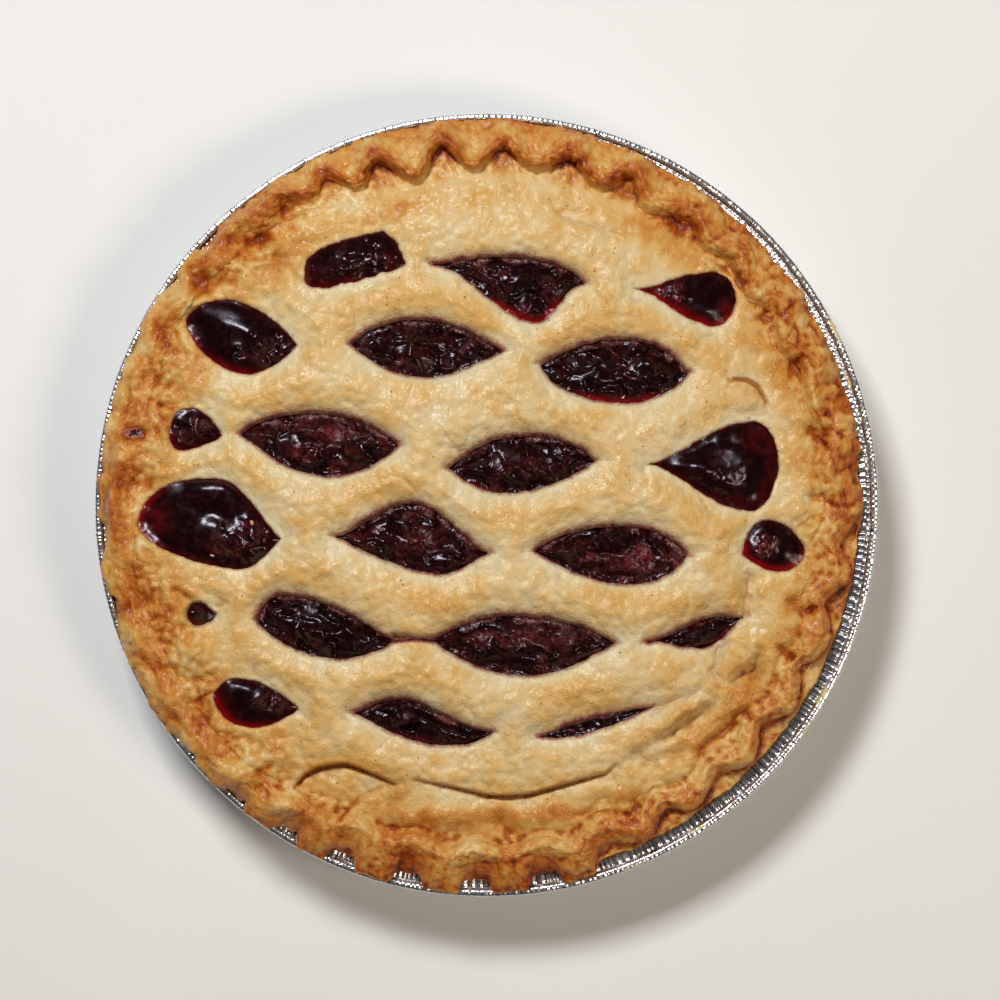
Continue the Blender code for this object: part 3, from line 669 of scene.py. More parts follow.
def rim_surface():
    deg = RIM_DEG
    c, s = np.cos(np.radians(deg)), np.sin(np.radians(deg))
    flat = left_side(deg)
    crisp = 1.0 - 0.55 * flat
    ring = flat3(100 * c, 100 * s)
    phase = lobe_phase(deg + (1.1 - 0.5 * smooth(225, 240, deg)) * noise(ring, 16, 73))
    bare = smooth(284, 297, deg) * (1 - smooth(352, 360, deg)) + (1 - smooth(0, 8, deg)) * 0.0
    wave = 0.5 - 0.5 * np.cos(2 * np.pi * phase)          # 1 at an outer dent
    cusp = 1 - np.sqrt(np.cos(np.pi * phase) ** 2 + 0.006)   # sharp at the dents
    steep = smooth(58, 76, deg) * (1 - smooth(114, 126, deg))
    notch = 1 - np.sqrt(np.sin(np.pi * phase) ** 2 + 0.004 + 0.03 * steep)   # sharp at the lobes
    dent_in = mix(wave, np.clip(0.75 * cusp + 0.25 * wave, 0, 1), bare)
    peak = mix(0.45, 0.22, steep)
    swing = mix(1 - 2 * ((1 - peak) * (1 - wave) + peak * notch), 2 * dent_in - 0.85, bare)
    amp = 1 + 0.30 * per_lobe(phase, 11)
    tall = 0.6 * per_lobe(phase, 12)
    crest = (CREST_R - 0.9 * (1 - flat) + 5.4 * flat + np.interp(deg, *np.array(STANDS).T)
             - np.interp(deg, *np.array(SWINGS).T) * amp * crisp * swing)
    half = CREST_HALF * (1 + 0.10 * per_lobe(phase, 13)) - 0.35 * crisp * swing - 0.45 * steep
    gap = 0.7 + 3.0 * smooth(226, 240, deg) * (1 - smooth(296, 306, deg))
    gap = gap + 1.6 * flat * np.clip(0.2 + per_lobe(phase, 14), 0, 1)
    reach = np.interp(deg, *np.array(REACH).T)
    reach = mix(reach, 108.3, bare)
    base = reach - gap * (1 - bare) * smooth(-0.35, 0.45, -np.cos(2 * np.pi * phase) - 0.15)
    edge = flat3(100 * c, 100 * s)
    base = base + (0.35 * noise(edge, 7, 71) + 0.2 * noise(edge, 2.5, 72)) + 0.25 * bare * noise(edge, 1.9, 74)
    base = np.minimum(np.maximum(base, 107.5), 113.9)
    crest = np.minimum(crest, base - half - 0.9)
    # where the outer wall lands; beyond it the lower right has a thin flange
    wall_foot = mix(base - 0.4, 106.8 - 4.0 * np.clip(0.8 * cusp + 0.2 * wave, 0, 1), bare)
    wall_foot = np.minimum(wall_foot, base - 0.3)
    top = CREST_Z - 1.3 * flat + tall + 0.3 - 0.9 * wave * crisp * bare - 0.5 * notch * crisp * (1 - bare)
    sunk = 1 - lift(deg) / FILL_UP
    r0 = seam_r(deg)
    foot = np.maximum(crest - half - 0.9, r0 + 1.0)
    mid = 0.5 * (r0 + foot)

    def on_dome(r):
        return dome(r * c, r * s)

    z0 = on_dome(r0) + lift(deg) * smooth(84, 97, r0)
    foot_z = (np.minimum(on_dome(foot), VALLEY_Z + 0.4) + lift(deg) * smooth(84, 97, foot)
              - 0.6 * (1 - wave) * crisp * sunk)
    foot_z = mix(foot_z, 0.55 * z0 + 0.45 * (top - 0.3), flat)
    mid_z = on_dome(mid) + lift(deg) * smooth(84, 97, mid)
    mid_z = mix(mid_z, 0.80 * z0 + 0.20 * (top - 0.3), flat)
    rise_z = mix(VALLEY_Z + lift(deg), top, 0.42) - 0.7 * (1 - wave) * crisp * sunk
    rise_z = mix(rise_z, 0.30 * z0 + 0.70 * (top - 0.2), flat)
    ctrl = [
        (r0 - 2.0, on_dome(r0 - 2.0) + lift(deg) * smooth(84, 97, r0 - 2.0)),
        (r0, on_dome(r0) + lift(deg) * smooth(84, 97, r0)),
        (mid, mid_z),
        (foot, foot_z),
        (crest - half + 0.2, rise_z),
        (crest - half * 0.55, top - 0.75 + 0.5 * flat),
        (crest + 0.2, top),
        (crest + half * 0.60, top - 0.9),
        (mix(crest + half, wall_foot, 0.35) + 0.4 * (1 - wave), 0.5 * (top + 30.6)),
        (wall_foot, np.full(N_RIM, 30.5)),
        (base, mix(29.9, 29.3, bare)),
        (np.clip(base - 0.1, 107.5, 111.7), np.full(N_RIM, 28.75)),
        (np.clip(base - 0.4, 107.4, 110.8), np.full(N_RIM, 27.95)),
        (np.full(N_RIM, 107.9), np.full(N_RIM, 27.2)),
    ]
    counts = (4, 5, 7, 8, 8, 8, 8, 8, 5, 3, 2)
    rr = catmull(np.array([q[0] for q in ctrl]), counts)
    zz = catmull(np.array([q[1] for q in ctrl]), counts)
    rows = len(rr)
    x, y = rr * c, rr * s
    det, near, which, over, crease_shade_and_browning = lid_detail(x.ravel(), y.ravel())
    det = det - lift(np.tile(deg, rows)) * smooth(84, 97, rr.ravel())
    det, near, crease_shade_and_browning = (v.reshape(rows, N_RIM) for v in (det, near, crease_shade_and_browning))
    which = which.reshape(rows, N_RIM)
    over = over.reshape(rows, N_RIM)
    row = np.arange(rows)[:, None]
    foot_row, crest_row = 9, 32
    keep = 1 - smooth(2, foot_row + 10, row.astype(float))
    zz = zz + det * keep
    # lumps and cracks carry on over the inner slope of the edge
    lump = (lumps(x.ravel(), y.ravel()) + crumple(x.ravel(), y.ravel())[0]).reshape(rows, N_RIM)
    zz = zz + lump * (1 - keep) * (1 - smooth(crest_row + 6, crest_row + 16, row.astype(float)))
    pts = np.stack([x, y, zz], 2)
    dt = np.roll(pts, -1, 1) - np.roll(pts, 1, 1)
    dp = np.gradient(pts, axis=0)
    nor = np.cross(dt, -dp)
    nor /= np.maximum(1e-9, np.linalg.norm(nor, axis=2))[..., None]
    p = pts.reshape(-1, 3)
    rough = np.tile(flat, (rows, 1)).ravel()
    d = rim_relief(p, rough) * rim_weight(p[:, 0], p[:, 1])
    # crumbly ridge of the upper edge, plumper lumps along the lower one
    q = p + 0.6 * np.stack([noise(p, 4, 47), noise(p, 4, 48), noise(p, 4, 49)], 1)
    band = smooth(13, 20, row.astype(float)) * (1 - smooth(44, 52, row.astype(float)))
    upper = smooth(58, 74, deg) * (1 - smooth(122, 140, deg))
    lower = smooth(232, 244, deg) * (1 - smooth(340, 352, deg))
    d += (band * upper).ravel() * (0.62 * (0.45 - smooth(0, 0.9, cells(q, 2.7, 50)[0]))
                                   + 0.36 * (0.45 - smooth(0, 0.9, cells(q, 1.4, 51)[0])))
    d += (band * lower).ravel() * (0.40 * noise(q, 6.0, 54) + 0.42 * (0.45 - smooth(0, 1.0, cells(q, 3.8, 55)[0])))
    d = d.reshape(rows, N_RIM)
    d *= 1 - 0.85 * smooth(rows - 8, rows - 2, row.astype(float))
    nor[:3] = (0, 0, 1)
    pts = pts + nor * d[..., None]
    rad = np.hypot(pts[..., 0], pts[..., 1])
    cap = np.where(pts[..., 2] < 29.4, 111.75, 114.1)
    k = np.minimum(1, cap / np.maximum(rad, 1e-9))
    pts[..., 0] *= k
    pts[..., 1] *= k
    pts[..., 2] = np.maximum(pts[..., 2], 27.9)
    info = {"near": near, "which": which, "over": over, "crease_shade_and_browning": crease_shade_and_browning,
            "wave": np.tile(wave, (rows, 1)), "row": np.tile(row.astype(float), (1, N_RIM)),
            "bare": np.tile(bare, (rows, 1)),
            "away": rr - wall_foot}
    return pts, info


def strip_faces(a, b):
    """Triangles between two closed rings of point numbers."""
    a2, b2 = np.roll(a, -1), np.roll(b, -1)
    return np.vstack([np.stack([a, a2, b2], 1), np.stack([a, b2, b], 1)])


# ---- crust: build ------------------------------------------------------------
def crust_pieces():
    rim, info = rim_surface()
    rows = len(rim)
    seam = rim[0]
    ring = np.arange(N_RIM)

    # plan points of the lid: seam ring, slot loops, open dough
    parts = [seam[:, :2]]
    loops, at = [ring], N_RIM
    for loop in LOOPS.values():
        parts.append(loop)
        loops.append(np.arange(at, at + len(loop)))
        at += len(loop)
    gx, gy = hex_grid(SPACING, (-104, -104), (104, 104))
    r = np.hypot(gx, gy)
    ok = r < seam_r(np.degrees(np.arctan2(gy, gx))) - 0.35
    gx, gy = gx[ok], gy[ok]
    for loop in LOOPS.values():
        lo, hi = loop.min(0) - 1, loop.max(0) + 1
        m = np.flatnonzero((gx > lo[0]) & (gx < hi[0]) & (gy > lo[1]) & (gy < hi[1]))
        d, _, _ = to_line(gx[m], gy[m], loop, closed=True)
        drop = inside(gx[m], gy[m], loop) | (d < 0.30)
        keep = np.ones(len(gx), bool)
        keep[m[drop]] = False
        gx, gy = gx[keep], gy[keep]
    plan = np.vstack(parts + [np.stack([gx, gy], 1)])
    tris = triangulate(plan, loops)
    owner = np.full(len(plan), -1)
    for k, lp in enumerate(loops):
        owner[lp] = k
    o = owner[tris]
    same = (o[:, 0] >= 0) & (o[:, 0] == o[:, 1]) & (o[:, 1] == o[:, 2])
    drop = np.zeros(len(tris), bool)
    mid = plan[tris].mean(1)
    for k in range(len(loops)):
        m = np.flatnonzero(same & (o[:, 0] == k))
        hit = inside(mid[m, 0], mid[m, 1], plan[loops[k]])
        drop[m] = ~hit if k == 0 else hit
    tris = tris[~drop]
    cw = signed_area(plan, tris) < 0
    tris[cw] = tris[cw][:, ::-1]

    det, near, which, over, crease_shade_and_browning = lid_detail(plan[:, 0], plan[:, 1])
    z = dome(plan[:, 0], plan[:, 1]) + det
    edge_w = rim_weight(plan[:, 0], plan[:, 1]) * smooth(0.0, 2.0, near)
    at = np.flatnonzero(edge_w > 0)
    side = left_side(np.degrees(np.arctan2(plan[at, 1], plan[at, 0])))
    z[at] += edge_w[at] * rim_relief(np.column_stack([plan[at], z[at]]), side)
    z[ring] = seam[:, 2]
    top = np.column_stack([plan, z])
    n_top = len(top)

    # colours' masks, worked out over lid and rim together
    rim_pts = rim.reshape(-1, 3)
    rim_ids = np.concatenate([ring, n_top + np.arange((rows - 1) * N_RIM)]).reshape(rows, N_RIM)
    both = np.vstack([top, rim_pts[N_RIM:]])
    rim_tris = np.vstack([strip_faces(rim_ids[k], rim_ids[k + 1])[:, ::-1] for k in range(rows - 1)])
    all_tris = np.vstack([tris, rim_tris])
    normals = vertex_normals(both, all_tris)
    soft = both.copy()
    soft[:, 2] = blurred(both[:, 2], all_tris, len(both), 8)
    small = soft[:, 2] - both[:, 2]
    wide = blurred(both[:, 2], all_tris, len(both), 70) - both[:, 2]
    near_all = np.concatenate([near, info["near"].reshape(-1)[N_RIM:]])
    which_all = np.concatenate([which, info["which"].reshape(-1)[N_RIM:]])
    over_all = np.concatenate([over, info["over"].reshape(-1)[N_RIM:]])
    crease_shade_and_browning_all = np.concatenate([crease_shade_and_browning, info["crease_shade_and_browning"].reshape(-1)[N_RIM:]])
    row_all = np.concatenate([np.zeros(len(near)), info["row"].reshape(-1)[N_RIM:]])
    bare_all = np.concatenate([np.zeros(len(near)), info["bare"].reshape(-1)[N_RIM:]])
    away_all = np.concatenate([np.full(len(near), -30.0), info["away"].reshape(-1)[N_RIM:]])
    masks = dough_masks(both, normals, small, wide, near_all, which_all, over_all, crease_shade_and_browning_all,
                        row_all, bare_all, away_all)

    # ---- lid piece
    pts, faces = [top], [tris]
    count = n_top
    wall_feet = []
    names = list(LOOPS)
    for k, name in enumerate(names):
        lp = loops[k + 1]
        loop = plan[lp]
        under = dome(loop[:, 0], loop[:, 1]) - LID - 1.4
        zt = z[lp]
        prev = lp
        nxt, prv = np.roll(loop, -1, 0), np.roll(loop, 1, 0)
        tan = nxt - prv
        tan /= np.maximum(1e-9, np.hypot(*tan.T))[:, None]
        nor = np.stack([tan[:, 1], -tan[:, 0]], 1)
        for f, push in ((0.3, 0.05), (0.65, 0.2), (1.0, 0.3)):
            ring_pts = np.column_stack([loop + nor * push, mix(zt, np.minimum(under, zt - 0.5), f)])
            ids = count + np.arange(len(lp))
            pts.append(ring_pts)
            faces.append(strip_faces(prev, ids))
            prev = ids
            count += len(lp)
        wall_feet.append(prev)
    foot_ring = count + ring
    pts.append(np.column_stack([seam[:, :2], dome(seam[:, 0], seam[:, 1]) - LID]))
    faces.append(strip_faces(ring, foot_ring)[:, ::-1])
    count += N_RIM
    lid_pts = np.vstack(pts)
    ux, uy = hex_grid(6.0, (-100, -100), (100, 100))
    ok = np.hypot(ux, uy) < seam_r(np.degrees(np.arctan2(uy, ux))) - 3
    ux, uy = ux[ok], uy[ok]
    for loop in LOOPS.values():
        d, _, _ = to_line(ux, uy, loop[::4], closed=True)
        keep = ~(inside(ux, uy, loop) | (d < 2.5))
        ux, uy = ux[keep], uy[keep]
    local = np.concatenate([foot_ring] + wall_feet)
    plan_u = np.vstack([lid_pts[local][:, :2], np.stack([ux, uy], 1)])
    sizes = [N_RIM] + [len(w) for w in wall_feet]
    starts = np.concatenate([[0], np.cumsum(sizes)])
    loops_u = [np.arange(starts[i], starts[i + 1]) for i in range(len(sizes))]
    tu = triangulate(plan_u, loops_u)
    own = np.full(len(plan_u), -1)
    for k, lp in enumerate(loops_u):
        own[lp] = k
    ou = own[tu]
    same = (ou[:, 0] >= 0) & (ou[:, 0] == ou[:, 1]) & (ou[:, 1] == ou[:, 2])
    mid = plan_u[tu].mean(1)
    drop = np.zeros(len(tu), bool)
    for k in range(len(loops_u)):
        m = np.flatnonzero(same & (ou[:, 0] == k))
        hit = inside(mid[m, 0], mid[m, 1], plan_u[loops_u[k]])
        drop[m] = ~hit if k == 0 else hit
    tu = tu[~drop]
    ccw = signed_area(plan_u, tu) > 0
    tu[ccw] = tu[ccw][:, ::-1]
    glob = np.concatenate([local, count + np.arange(len(ux))])
    faces.append(glob[tu])
    lid_pts = np.vstack([lid_pts, np.column_stack([ux, uy, dome(ux, uy) - LID])])
    extra = len(lid_pts) - n_top
    att = {k: np.concatenate([v[:n_top], np.zeros(extra) + dflt])
           for (k, v), dflt in zip(masks.items(), MASK_DEFAULTS)}
    # walls of the slots: soaked dough
    wall_ids = np.arange(n_top, len(lid_pts))
    att["juice"][wall_ids] = 0.85
    all_faces = np.vstack(faces)
    full_n = vertex_normals(lid_pts, all_faces)
    full_n[:n_top] = np.where((owner >= 1)[:, None], full_n[:n_top], normals[:n_top])
    lid = add_mesh("crust_lid", lid_pts, [all_faces], att, full_n)
    print("lid", len(all_faces))

    # ---- rim piece: the same top, then down inside the pan and across the base
    rim_local = rim_pts
    faces = [np.vstack([strip_faces(np.arange(N_RIM) + k * N_RIM, np.arange(N_RIM) + (k + 1) * N_RIM)[:, ::-1]
                        for k in range(rows - 1)])]
    c, s = np.cos(np.radians(RIM_DEG)), np.sin(np.radians(RIM_DEG))
    nx, nz = wall_normal()
    d = FOIL + GAP + SIDE_CRUST
    floor = FOIL + GAP + BOTTOM_CRUST
    foot = BASE_CORNER[0] - nx * d
    low = pan_inside(GAP + 0.05)[::-1] + [(2.0, FOIL + GAP + 0.05)]
    cav = [(2.0, floor), (foot - 3.0, floor), (foot + 0.6, floor + 1.6), (103.9, VALLEY_Z - LID)]
    pts = [rim_local]
    prev = np.arange(N_RIM) + (rows - 1) * N_RIM
    count = rows * N_RIM
    first_disc = None
    for i, (r, zz) in enumerate(low + cav):
        pts.append(np.column_stack([r * c, r * s, np.full(N_RIM, zz)]))
        ids = count + ring
        if i == len(low):
            faces_disc = [prev[::-1], ids]
            first_disc = faces_disc
        else:
            faces.append(strip_faces(prev, ids)[:, ::-1])
        prev = ids
        count += N_RIM
    r0 = np.hypot(seam[:, 0], seam[:, 1])
    pts.append(np.column_stack([seam[:, :2], dome(seam[:, 0], seam[:, 1]) - LID]))
    ids = count + ring
    faces.append(strip_faces(prev, ids)[:, ::-1])
    faces.append(strip_faces(ids, ring)[:, ::-1])
    count += N_RIM
    rim_all = np.vstack(pts)
    tri_faces = np.vstack(faces)
    n_rim_top = rows * N_RIM
    extra = len(rim_all) - n_rim_top
    rim_pick = rim_ids.ravel()
    att = {k: np.concatenate([v[rim_pick], np.zeros(extra) + dflt])
           for (k, v), dflt in zip(masks.items(), MASK_DEFAULTS)}
    full_n = vertex_normals(rim_all, tri_faces)
    full_n[:n_rim_top] = normals[rim_pick]
    blocks = [tri_faces] + [f.reshape(1, -1) for f in first_disc]
    edge = add_mesh("crust_edge", rim_all, blocks, att, full_n)
    print("edge", len(tri_faces))
    lip_z = {name: z[loops[k + 1]] for k, name in enumerate(names)}
    return lid, edge, lip_z


# ---- browning and stains -----------------------------------------------------
MASK_DEFAULTS = (0.55, 0.0, 0.0, 0.0)
# golden (or paler) patches: x, y, half sizes, turn, amount
PATCHES = (
    (-66, 42, 9, 5, 20, .16), (-14, 33, 10, 4, -10, .12), (30, 26, 10, 4, 20, .14),
    (66, 26, 8, 4, 20, .14), (-38, 4, 12, 4, -5, .14), (8, -3, 12, 4, 5, .14),
    (44, -27, 14, 4, -10, .18), (-20, -27, 13, 4, -8, .18), (70, -4, 7, 5, 0, .14),
    (-50, -22, 9, 4, -20, .12), (20, -55, 14, 4, 0, .10), (-20, -50, 12, 4, -15, .12),
    (0, 56, 12, 4, 0, .10), (36, 54, 9, 5, 20, .12), (-30, 82, 14, 5, 0, .06),
    (6, -91, 34, 4, 3, .13), (-30, -93, 9, 4, 25, -.06),
)
# painted soft brown shade, with some browning, in creases and hollows near the edge
SHADED_HOLLOWS = (
    (-108.6, -7.1, 3, 5, 10, .14), (-102, -18, 2, 3.8, -25, .14), (-95, -32.3, 4, 2.5, 20, .16),
    (-107, -28.7, 3, 4, 0, .15), (-104, 12, 2, 5, -20, .13), (-108, 5, 2.6, 4, 0, .10),
    (-103.4, 21.2, 4.5, 2.6, 0, .20), (-106, 27, 3, 3, 0, .14), (-101, -44, 3, 5, -20, .16),
    (-95, 48, 3, 7, 20, .12), (-83.5, 64, 3, 6, 20, .09), (-79.4, 73, 3.4, 6, 25, .09),
    (-76.5, 70.5, 4, 1.8, 25, .09), (-68, 79, 5.4, 2.2, 10, .11), (-88, 66, 5, 8, 40, .10),
    (-62, 88, 6, 3, 25, .10), (-92, -62, 3, 3.6, -30, .10), (-72, 84, 9, 4, 40, .08),
    (100.5, 31, 1.8, 4, 10, .14), (98.5, 19.4, 4, 1.8, -30, .12), (100.5, .8, 4, 1.6, -15, .10),
    (92, -36.5, 3, 1.4, 10, .22), (87, -52, 4, 2, 20, .18), (69, -53.4, 3, 1.0, 0, .16),
    (66, -70, 6, 1.8, 42, .16), (74, 68, 2.4, 4, 35, .16), (60, 84, 4, 2.0, -35, .16),
)


def dough_masks(pts, normals, small, wide, near, which, over, crease_shade_and_browning, row, bare, away):
    x, y, z = pts.T
    r = np.hypot(x, y)
    deg = np.degrees(np.arctan2(y, x))
    flat = left_side(deg)
    p = flat3(x, y)
    bulging = np.isin(which, [list(LOOPS).index(n) for n in BULGING])
    # browning: pale middle, golden shoulders, brown edge
    bake = 0.21 + 0.06 * smooth(20, 80, r) + 0.20 * smooth(82, 97, r) + 0.17 * smooth(95, 104, r)
    bake += 0.02 * smooth(102, 108, r) + 0.02 * np.exp(-((r - 91) / 4) ** 2)
    bake += 0.03 * flat * smooth(60, 90, r)
    bake += 0.15 * noise(p, 17, 51) + 0.09 * noise(p, 7, 52) + 0.05 * noise(pts, 3.4, 53)
    bake += 0.07 * smooth(80, 88, r) * noise(p, 9, 59)
    bake += 0.20 * np.clip(-wide / 1.0, -0.5, 1.0) * (1 - smooth(86, 98, r))
    bake -= 0.15 * np.exp(-(near / 3.2) ** 2) * (1 - smooth(70, 96, r))
    for cx, cy, a, b, turn, h in PATCHES:
        c, s = math.cos(math.radians(turn)), math.sin(math.radians(turn))
        px, py = x - cx * LID_SCALE, y - cy * LID_SCALE
        u, v = (px * c + py * s) / a, (-px * s + py * c) / b
        bake += h * np.exp(-(u * u + v * v))
    # painted shade in creases and hollows
    for cx, cy, a, b, turn, h in SHADED_HOLLOWS:
        c, s = math.cos(math.radians(turn)), math.sin(math.radians(turn))
        px, py = x - cx * LID_SCALE, y - cy * LID_SCALE
        u, v = (px * c + py * s) / a, (-px * s + py * c) / b
        bake += h * np.exp(-(u * u + v * v)) * np.clip(0.9 + 0.6 * noise(p, 2.6, 67), 0.2, 1.5)
    east = smooth(-26, -8, deg) * (1 - smooth(44, 58, deg)) * smooth(84, 92, r)
    bake += east * (0.10 * noise(p, 5.5, 68) + 0.05 * noise(p, 2.4, 69))
    bake -= 0.12 * flat * smooth(94, 102, r) + 0.04 * smooth(96, 103, r) * np.exp(-((np.abs((deg - 140) % 360)) / 20) ** 2)
    # top: pale dough right up to the rope, whose ridge is brown and outer fans golden; a painted shadow lies under the
    # crest at each outward peak
    crown = smooth(58, 74, deg) * (1 - smooth(116, 130, deg))
    crest_shadow = np.exp(-((row - 12.0) / 4.2) ** 2) * smooth(0.35, 0.9, 1 - (0.5 - 0.5 * np.cos(2 * np.pi * lobe_phase(deg % 360))))
    bake -= 0.13 * crown * (1 - smooth(10, 17, row)) * smooth(88, 94, r)
    bake += crown * (0.24 * crest_shadow + 0.06 * smooth(12, 16, row) * (1 - smooth(24, 28, row)) + 0.10 * smooth(19, 25, row) * (1 - smooth(34, 40, row)) - 0.05 * smooth(42, 48, row))
    # outer wall of the edge brown, darkest at the lower right and under the dents, where painted shade stands for the
    # side turned from the key light; its foot and the thin flange pale
    away_from_key = 0.5 + 0.5 * np.cos(np.radians(deg + 62))       # 1 at the lower right
    wall = smooth(37, 45, row) * (1 - smooth(54, 58, row))
    wave = 0.5 - 0.5 * np.cos(2 * np.pi * lobe_phase(deg % 360))
    under = smooth(0.35, 0.85, away_from_key) * (1 - 0.5 * bare)
    bake += wall * (-0.06 + under * (0.06 + 0.13 * wave)) * (1 + 0.4 * noise(pts, 5, 56))
    bake -= 0.06 * smooth(55, 59, row) * (0.8 + 0.5 * noise(p, 9, 55)) * (1 - bare)
    # painted shadow under the overhanging lobes of the lower right, paler further out
    bake += bare * (0.17 * np.exp(-((away - 0.3) / 1.0) ** 2) - 0.13 * smooth(0.8, 2.2, away))
    rim_zone = smooth(92, 99, r)
    plump = smooth(232, 244, deg % 360) * (1 - smooth(340, 352, deg % 360)) * rim_zone
    bake -= 0.045 * plump
    bake += 0.05 * smooth(14, 22, row) * (1 - smooth(38, 44, row))
    # hollows of the edge are browned, which also paints in part of their shade
    bake += 0.09 * np.clip(wide / 1.2, -0.7, 1) * rim_zone * (1 - 0.85 * crown)
    hollow = np.clip(small / 0.25, -1, 1) * (1 - 0.40 * flat)
    bake += 0.09 * rim_zone * hollow
    bake += rim_zone * (0.06 * noise(pts, 6.5, 57) + 0.05 * noise(pts, 2.4, 58))
    # painted shade: this mask darkens crevices, hollows, creases and folds, and browns them a little
    crevice_shade_and_browning = mix(np.clip(small / 0.14, -1, 1) * 0.28, 0.42 * hollow * (1 - 0.5 * crown * smooth(14, 18, row)), rim_zone)
    crevice_shade_and_browning += np.clip(wide / 0.7, -0.4, 1) * mix(0.22, 0.16, rim_zone) * (1 - 0.85 * crown * smooth(88, 94, r))
    # painted shadow under the crest of the upper edge
    crevice_shade_and_browning += 0.8 * crown * crest_shadow
    tips = crown * smooth(0.45, 0.95, 1 - wave) * smooth(19, 25, row) * (1 - smooth(46, 54, row))
    bake -= 0.13 * tips
    crevice_shade_and_browning -= 0.45 * tips
    crevice_shade_and_browning *= 1 + 0.30 * plump
    # folds and cracks are browned, and painted with shade through the crevice mask
    bake += 0.16 * np.clip(crease_shade_and_browning, 0, 1)
    over_gold = np.maximum(0, bake - 0.40) * (1 - smooth(80, 90, r))
    bake -= 0.6 * over_gold
    crevice_shade_and_browning = np.clip(crevice_shade_and_browning, -0.6, 1.0)
    crevice_shade_and_browning = np.maximum(crevice_shade_and_browning, np.clip(crease_shade_and_browning, 0, 1.4))
    # juice soaked into the lips
    soak = 0.56 + 0.8 * noise(p, 6.0, 61) + 0.6 * noise(p, 1.5, 62)
    reach = np.where(bulging, 0.45, np.where(over > 0, 1.35, 0.65))
    juice = np.clip(soak, 0.12, 0.95) * np.exp(-(near / reach) ** 2)
    juice *= np.where(bulging, 0.7, 1.0)
    juice += np.where(bulging, 0.08, np.where(over > 0, 0.27, 0.11)) * np.exp(-(near / 2.5) ** 2)
    # a spot where juice has come through, at the left
    ragged = np.hypot((x + 103.4 * LID_SCALE) / 2.2, (y - 21.2 * LID_SCALE) / 1.2) + 0.9 * noise(p, 2.4, 63) + 0.4 * noise(p, 1.1, 70)
    spot = 2.6 * (1 - smooth(0.35, 1.25, ragged))
    # juice has run along the crack between two slots; the crack also gets painted shade
    d = to_line(x, y, np.array([SLOTS["E1"][1], (-21, -39.2), SLOTS["E2"][0]]) * LID_SCALE)[0]
    crevice_shade_and_browning = np.maximum(crevice_shade_and_browning, 1.3 * np.exp(-(d / 0.6) ** 2))
    juice = np.minimum(juice, 1.0)
    juice = np.maximum(np.maximum(juice, 1.7 * np.exp(-(d / 0.6) ** 2)), spot)
    # painted shade: the rolled upper lip over each open slot, turned from the light, is coloured a dull brown
    tan = np.where(bulging | (over < 0), 0.0, np.exp(-(near / 2.0) ** 2)) * np.clip(0.8 + 0.5 * noise(p, 7, 66), 0, 1.2)
    bake += 0.30 * tan
    crevice_shade_and_browning += 0.16 * tan
    shine = np.clip(0.5 + 0.5 * noise(p, 12, 64) + 0.3 * noise(p, 4, 65), 0, 1)
    return {"bake": bake, "crevice_shade_and_browning": crevice_shade_and_browning, "juice": np.clip(juice, 0, 1.7), "shine": shine}
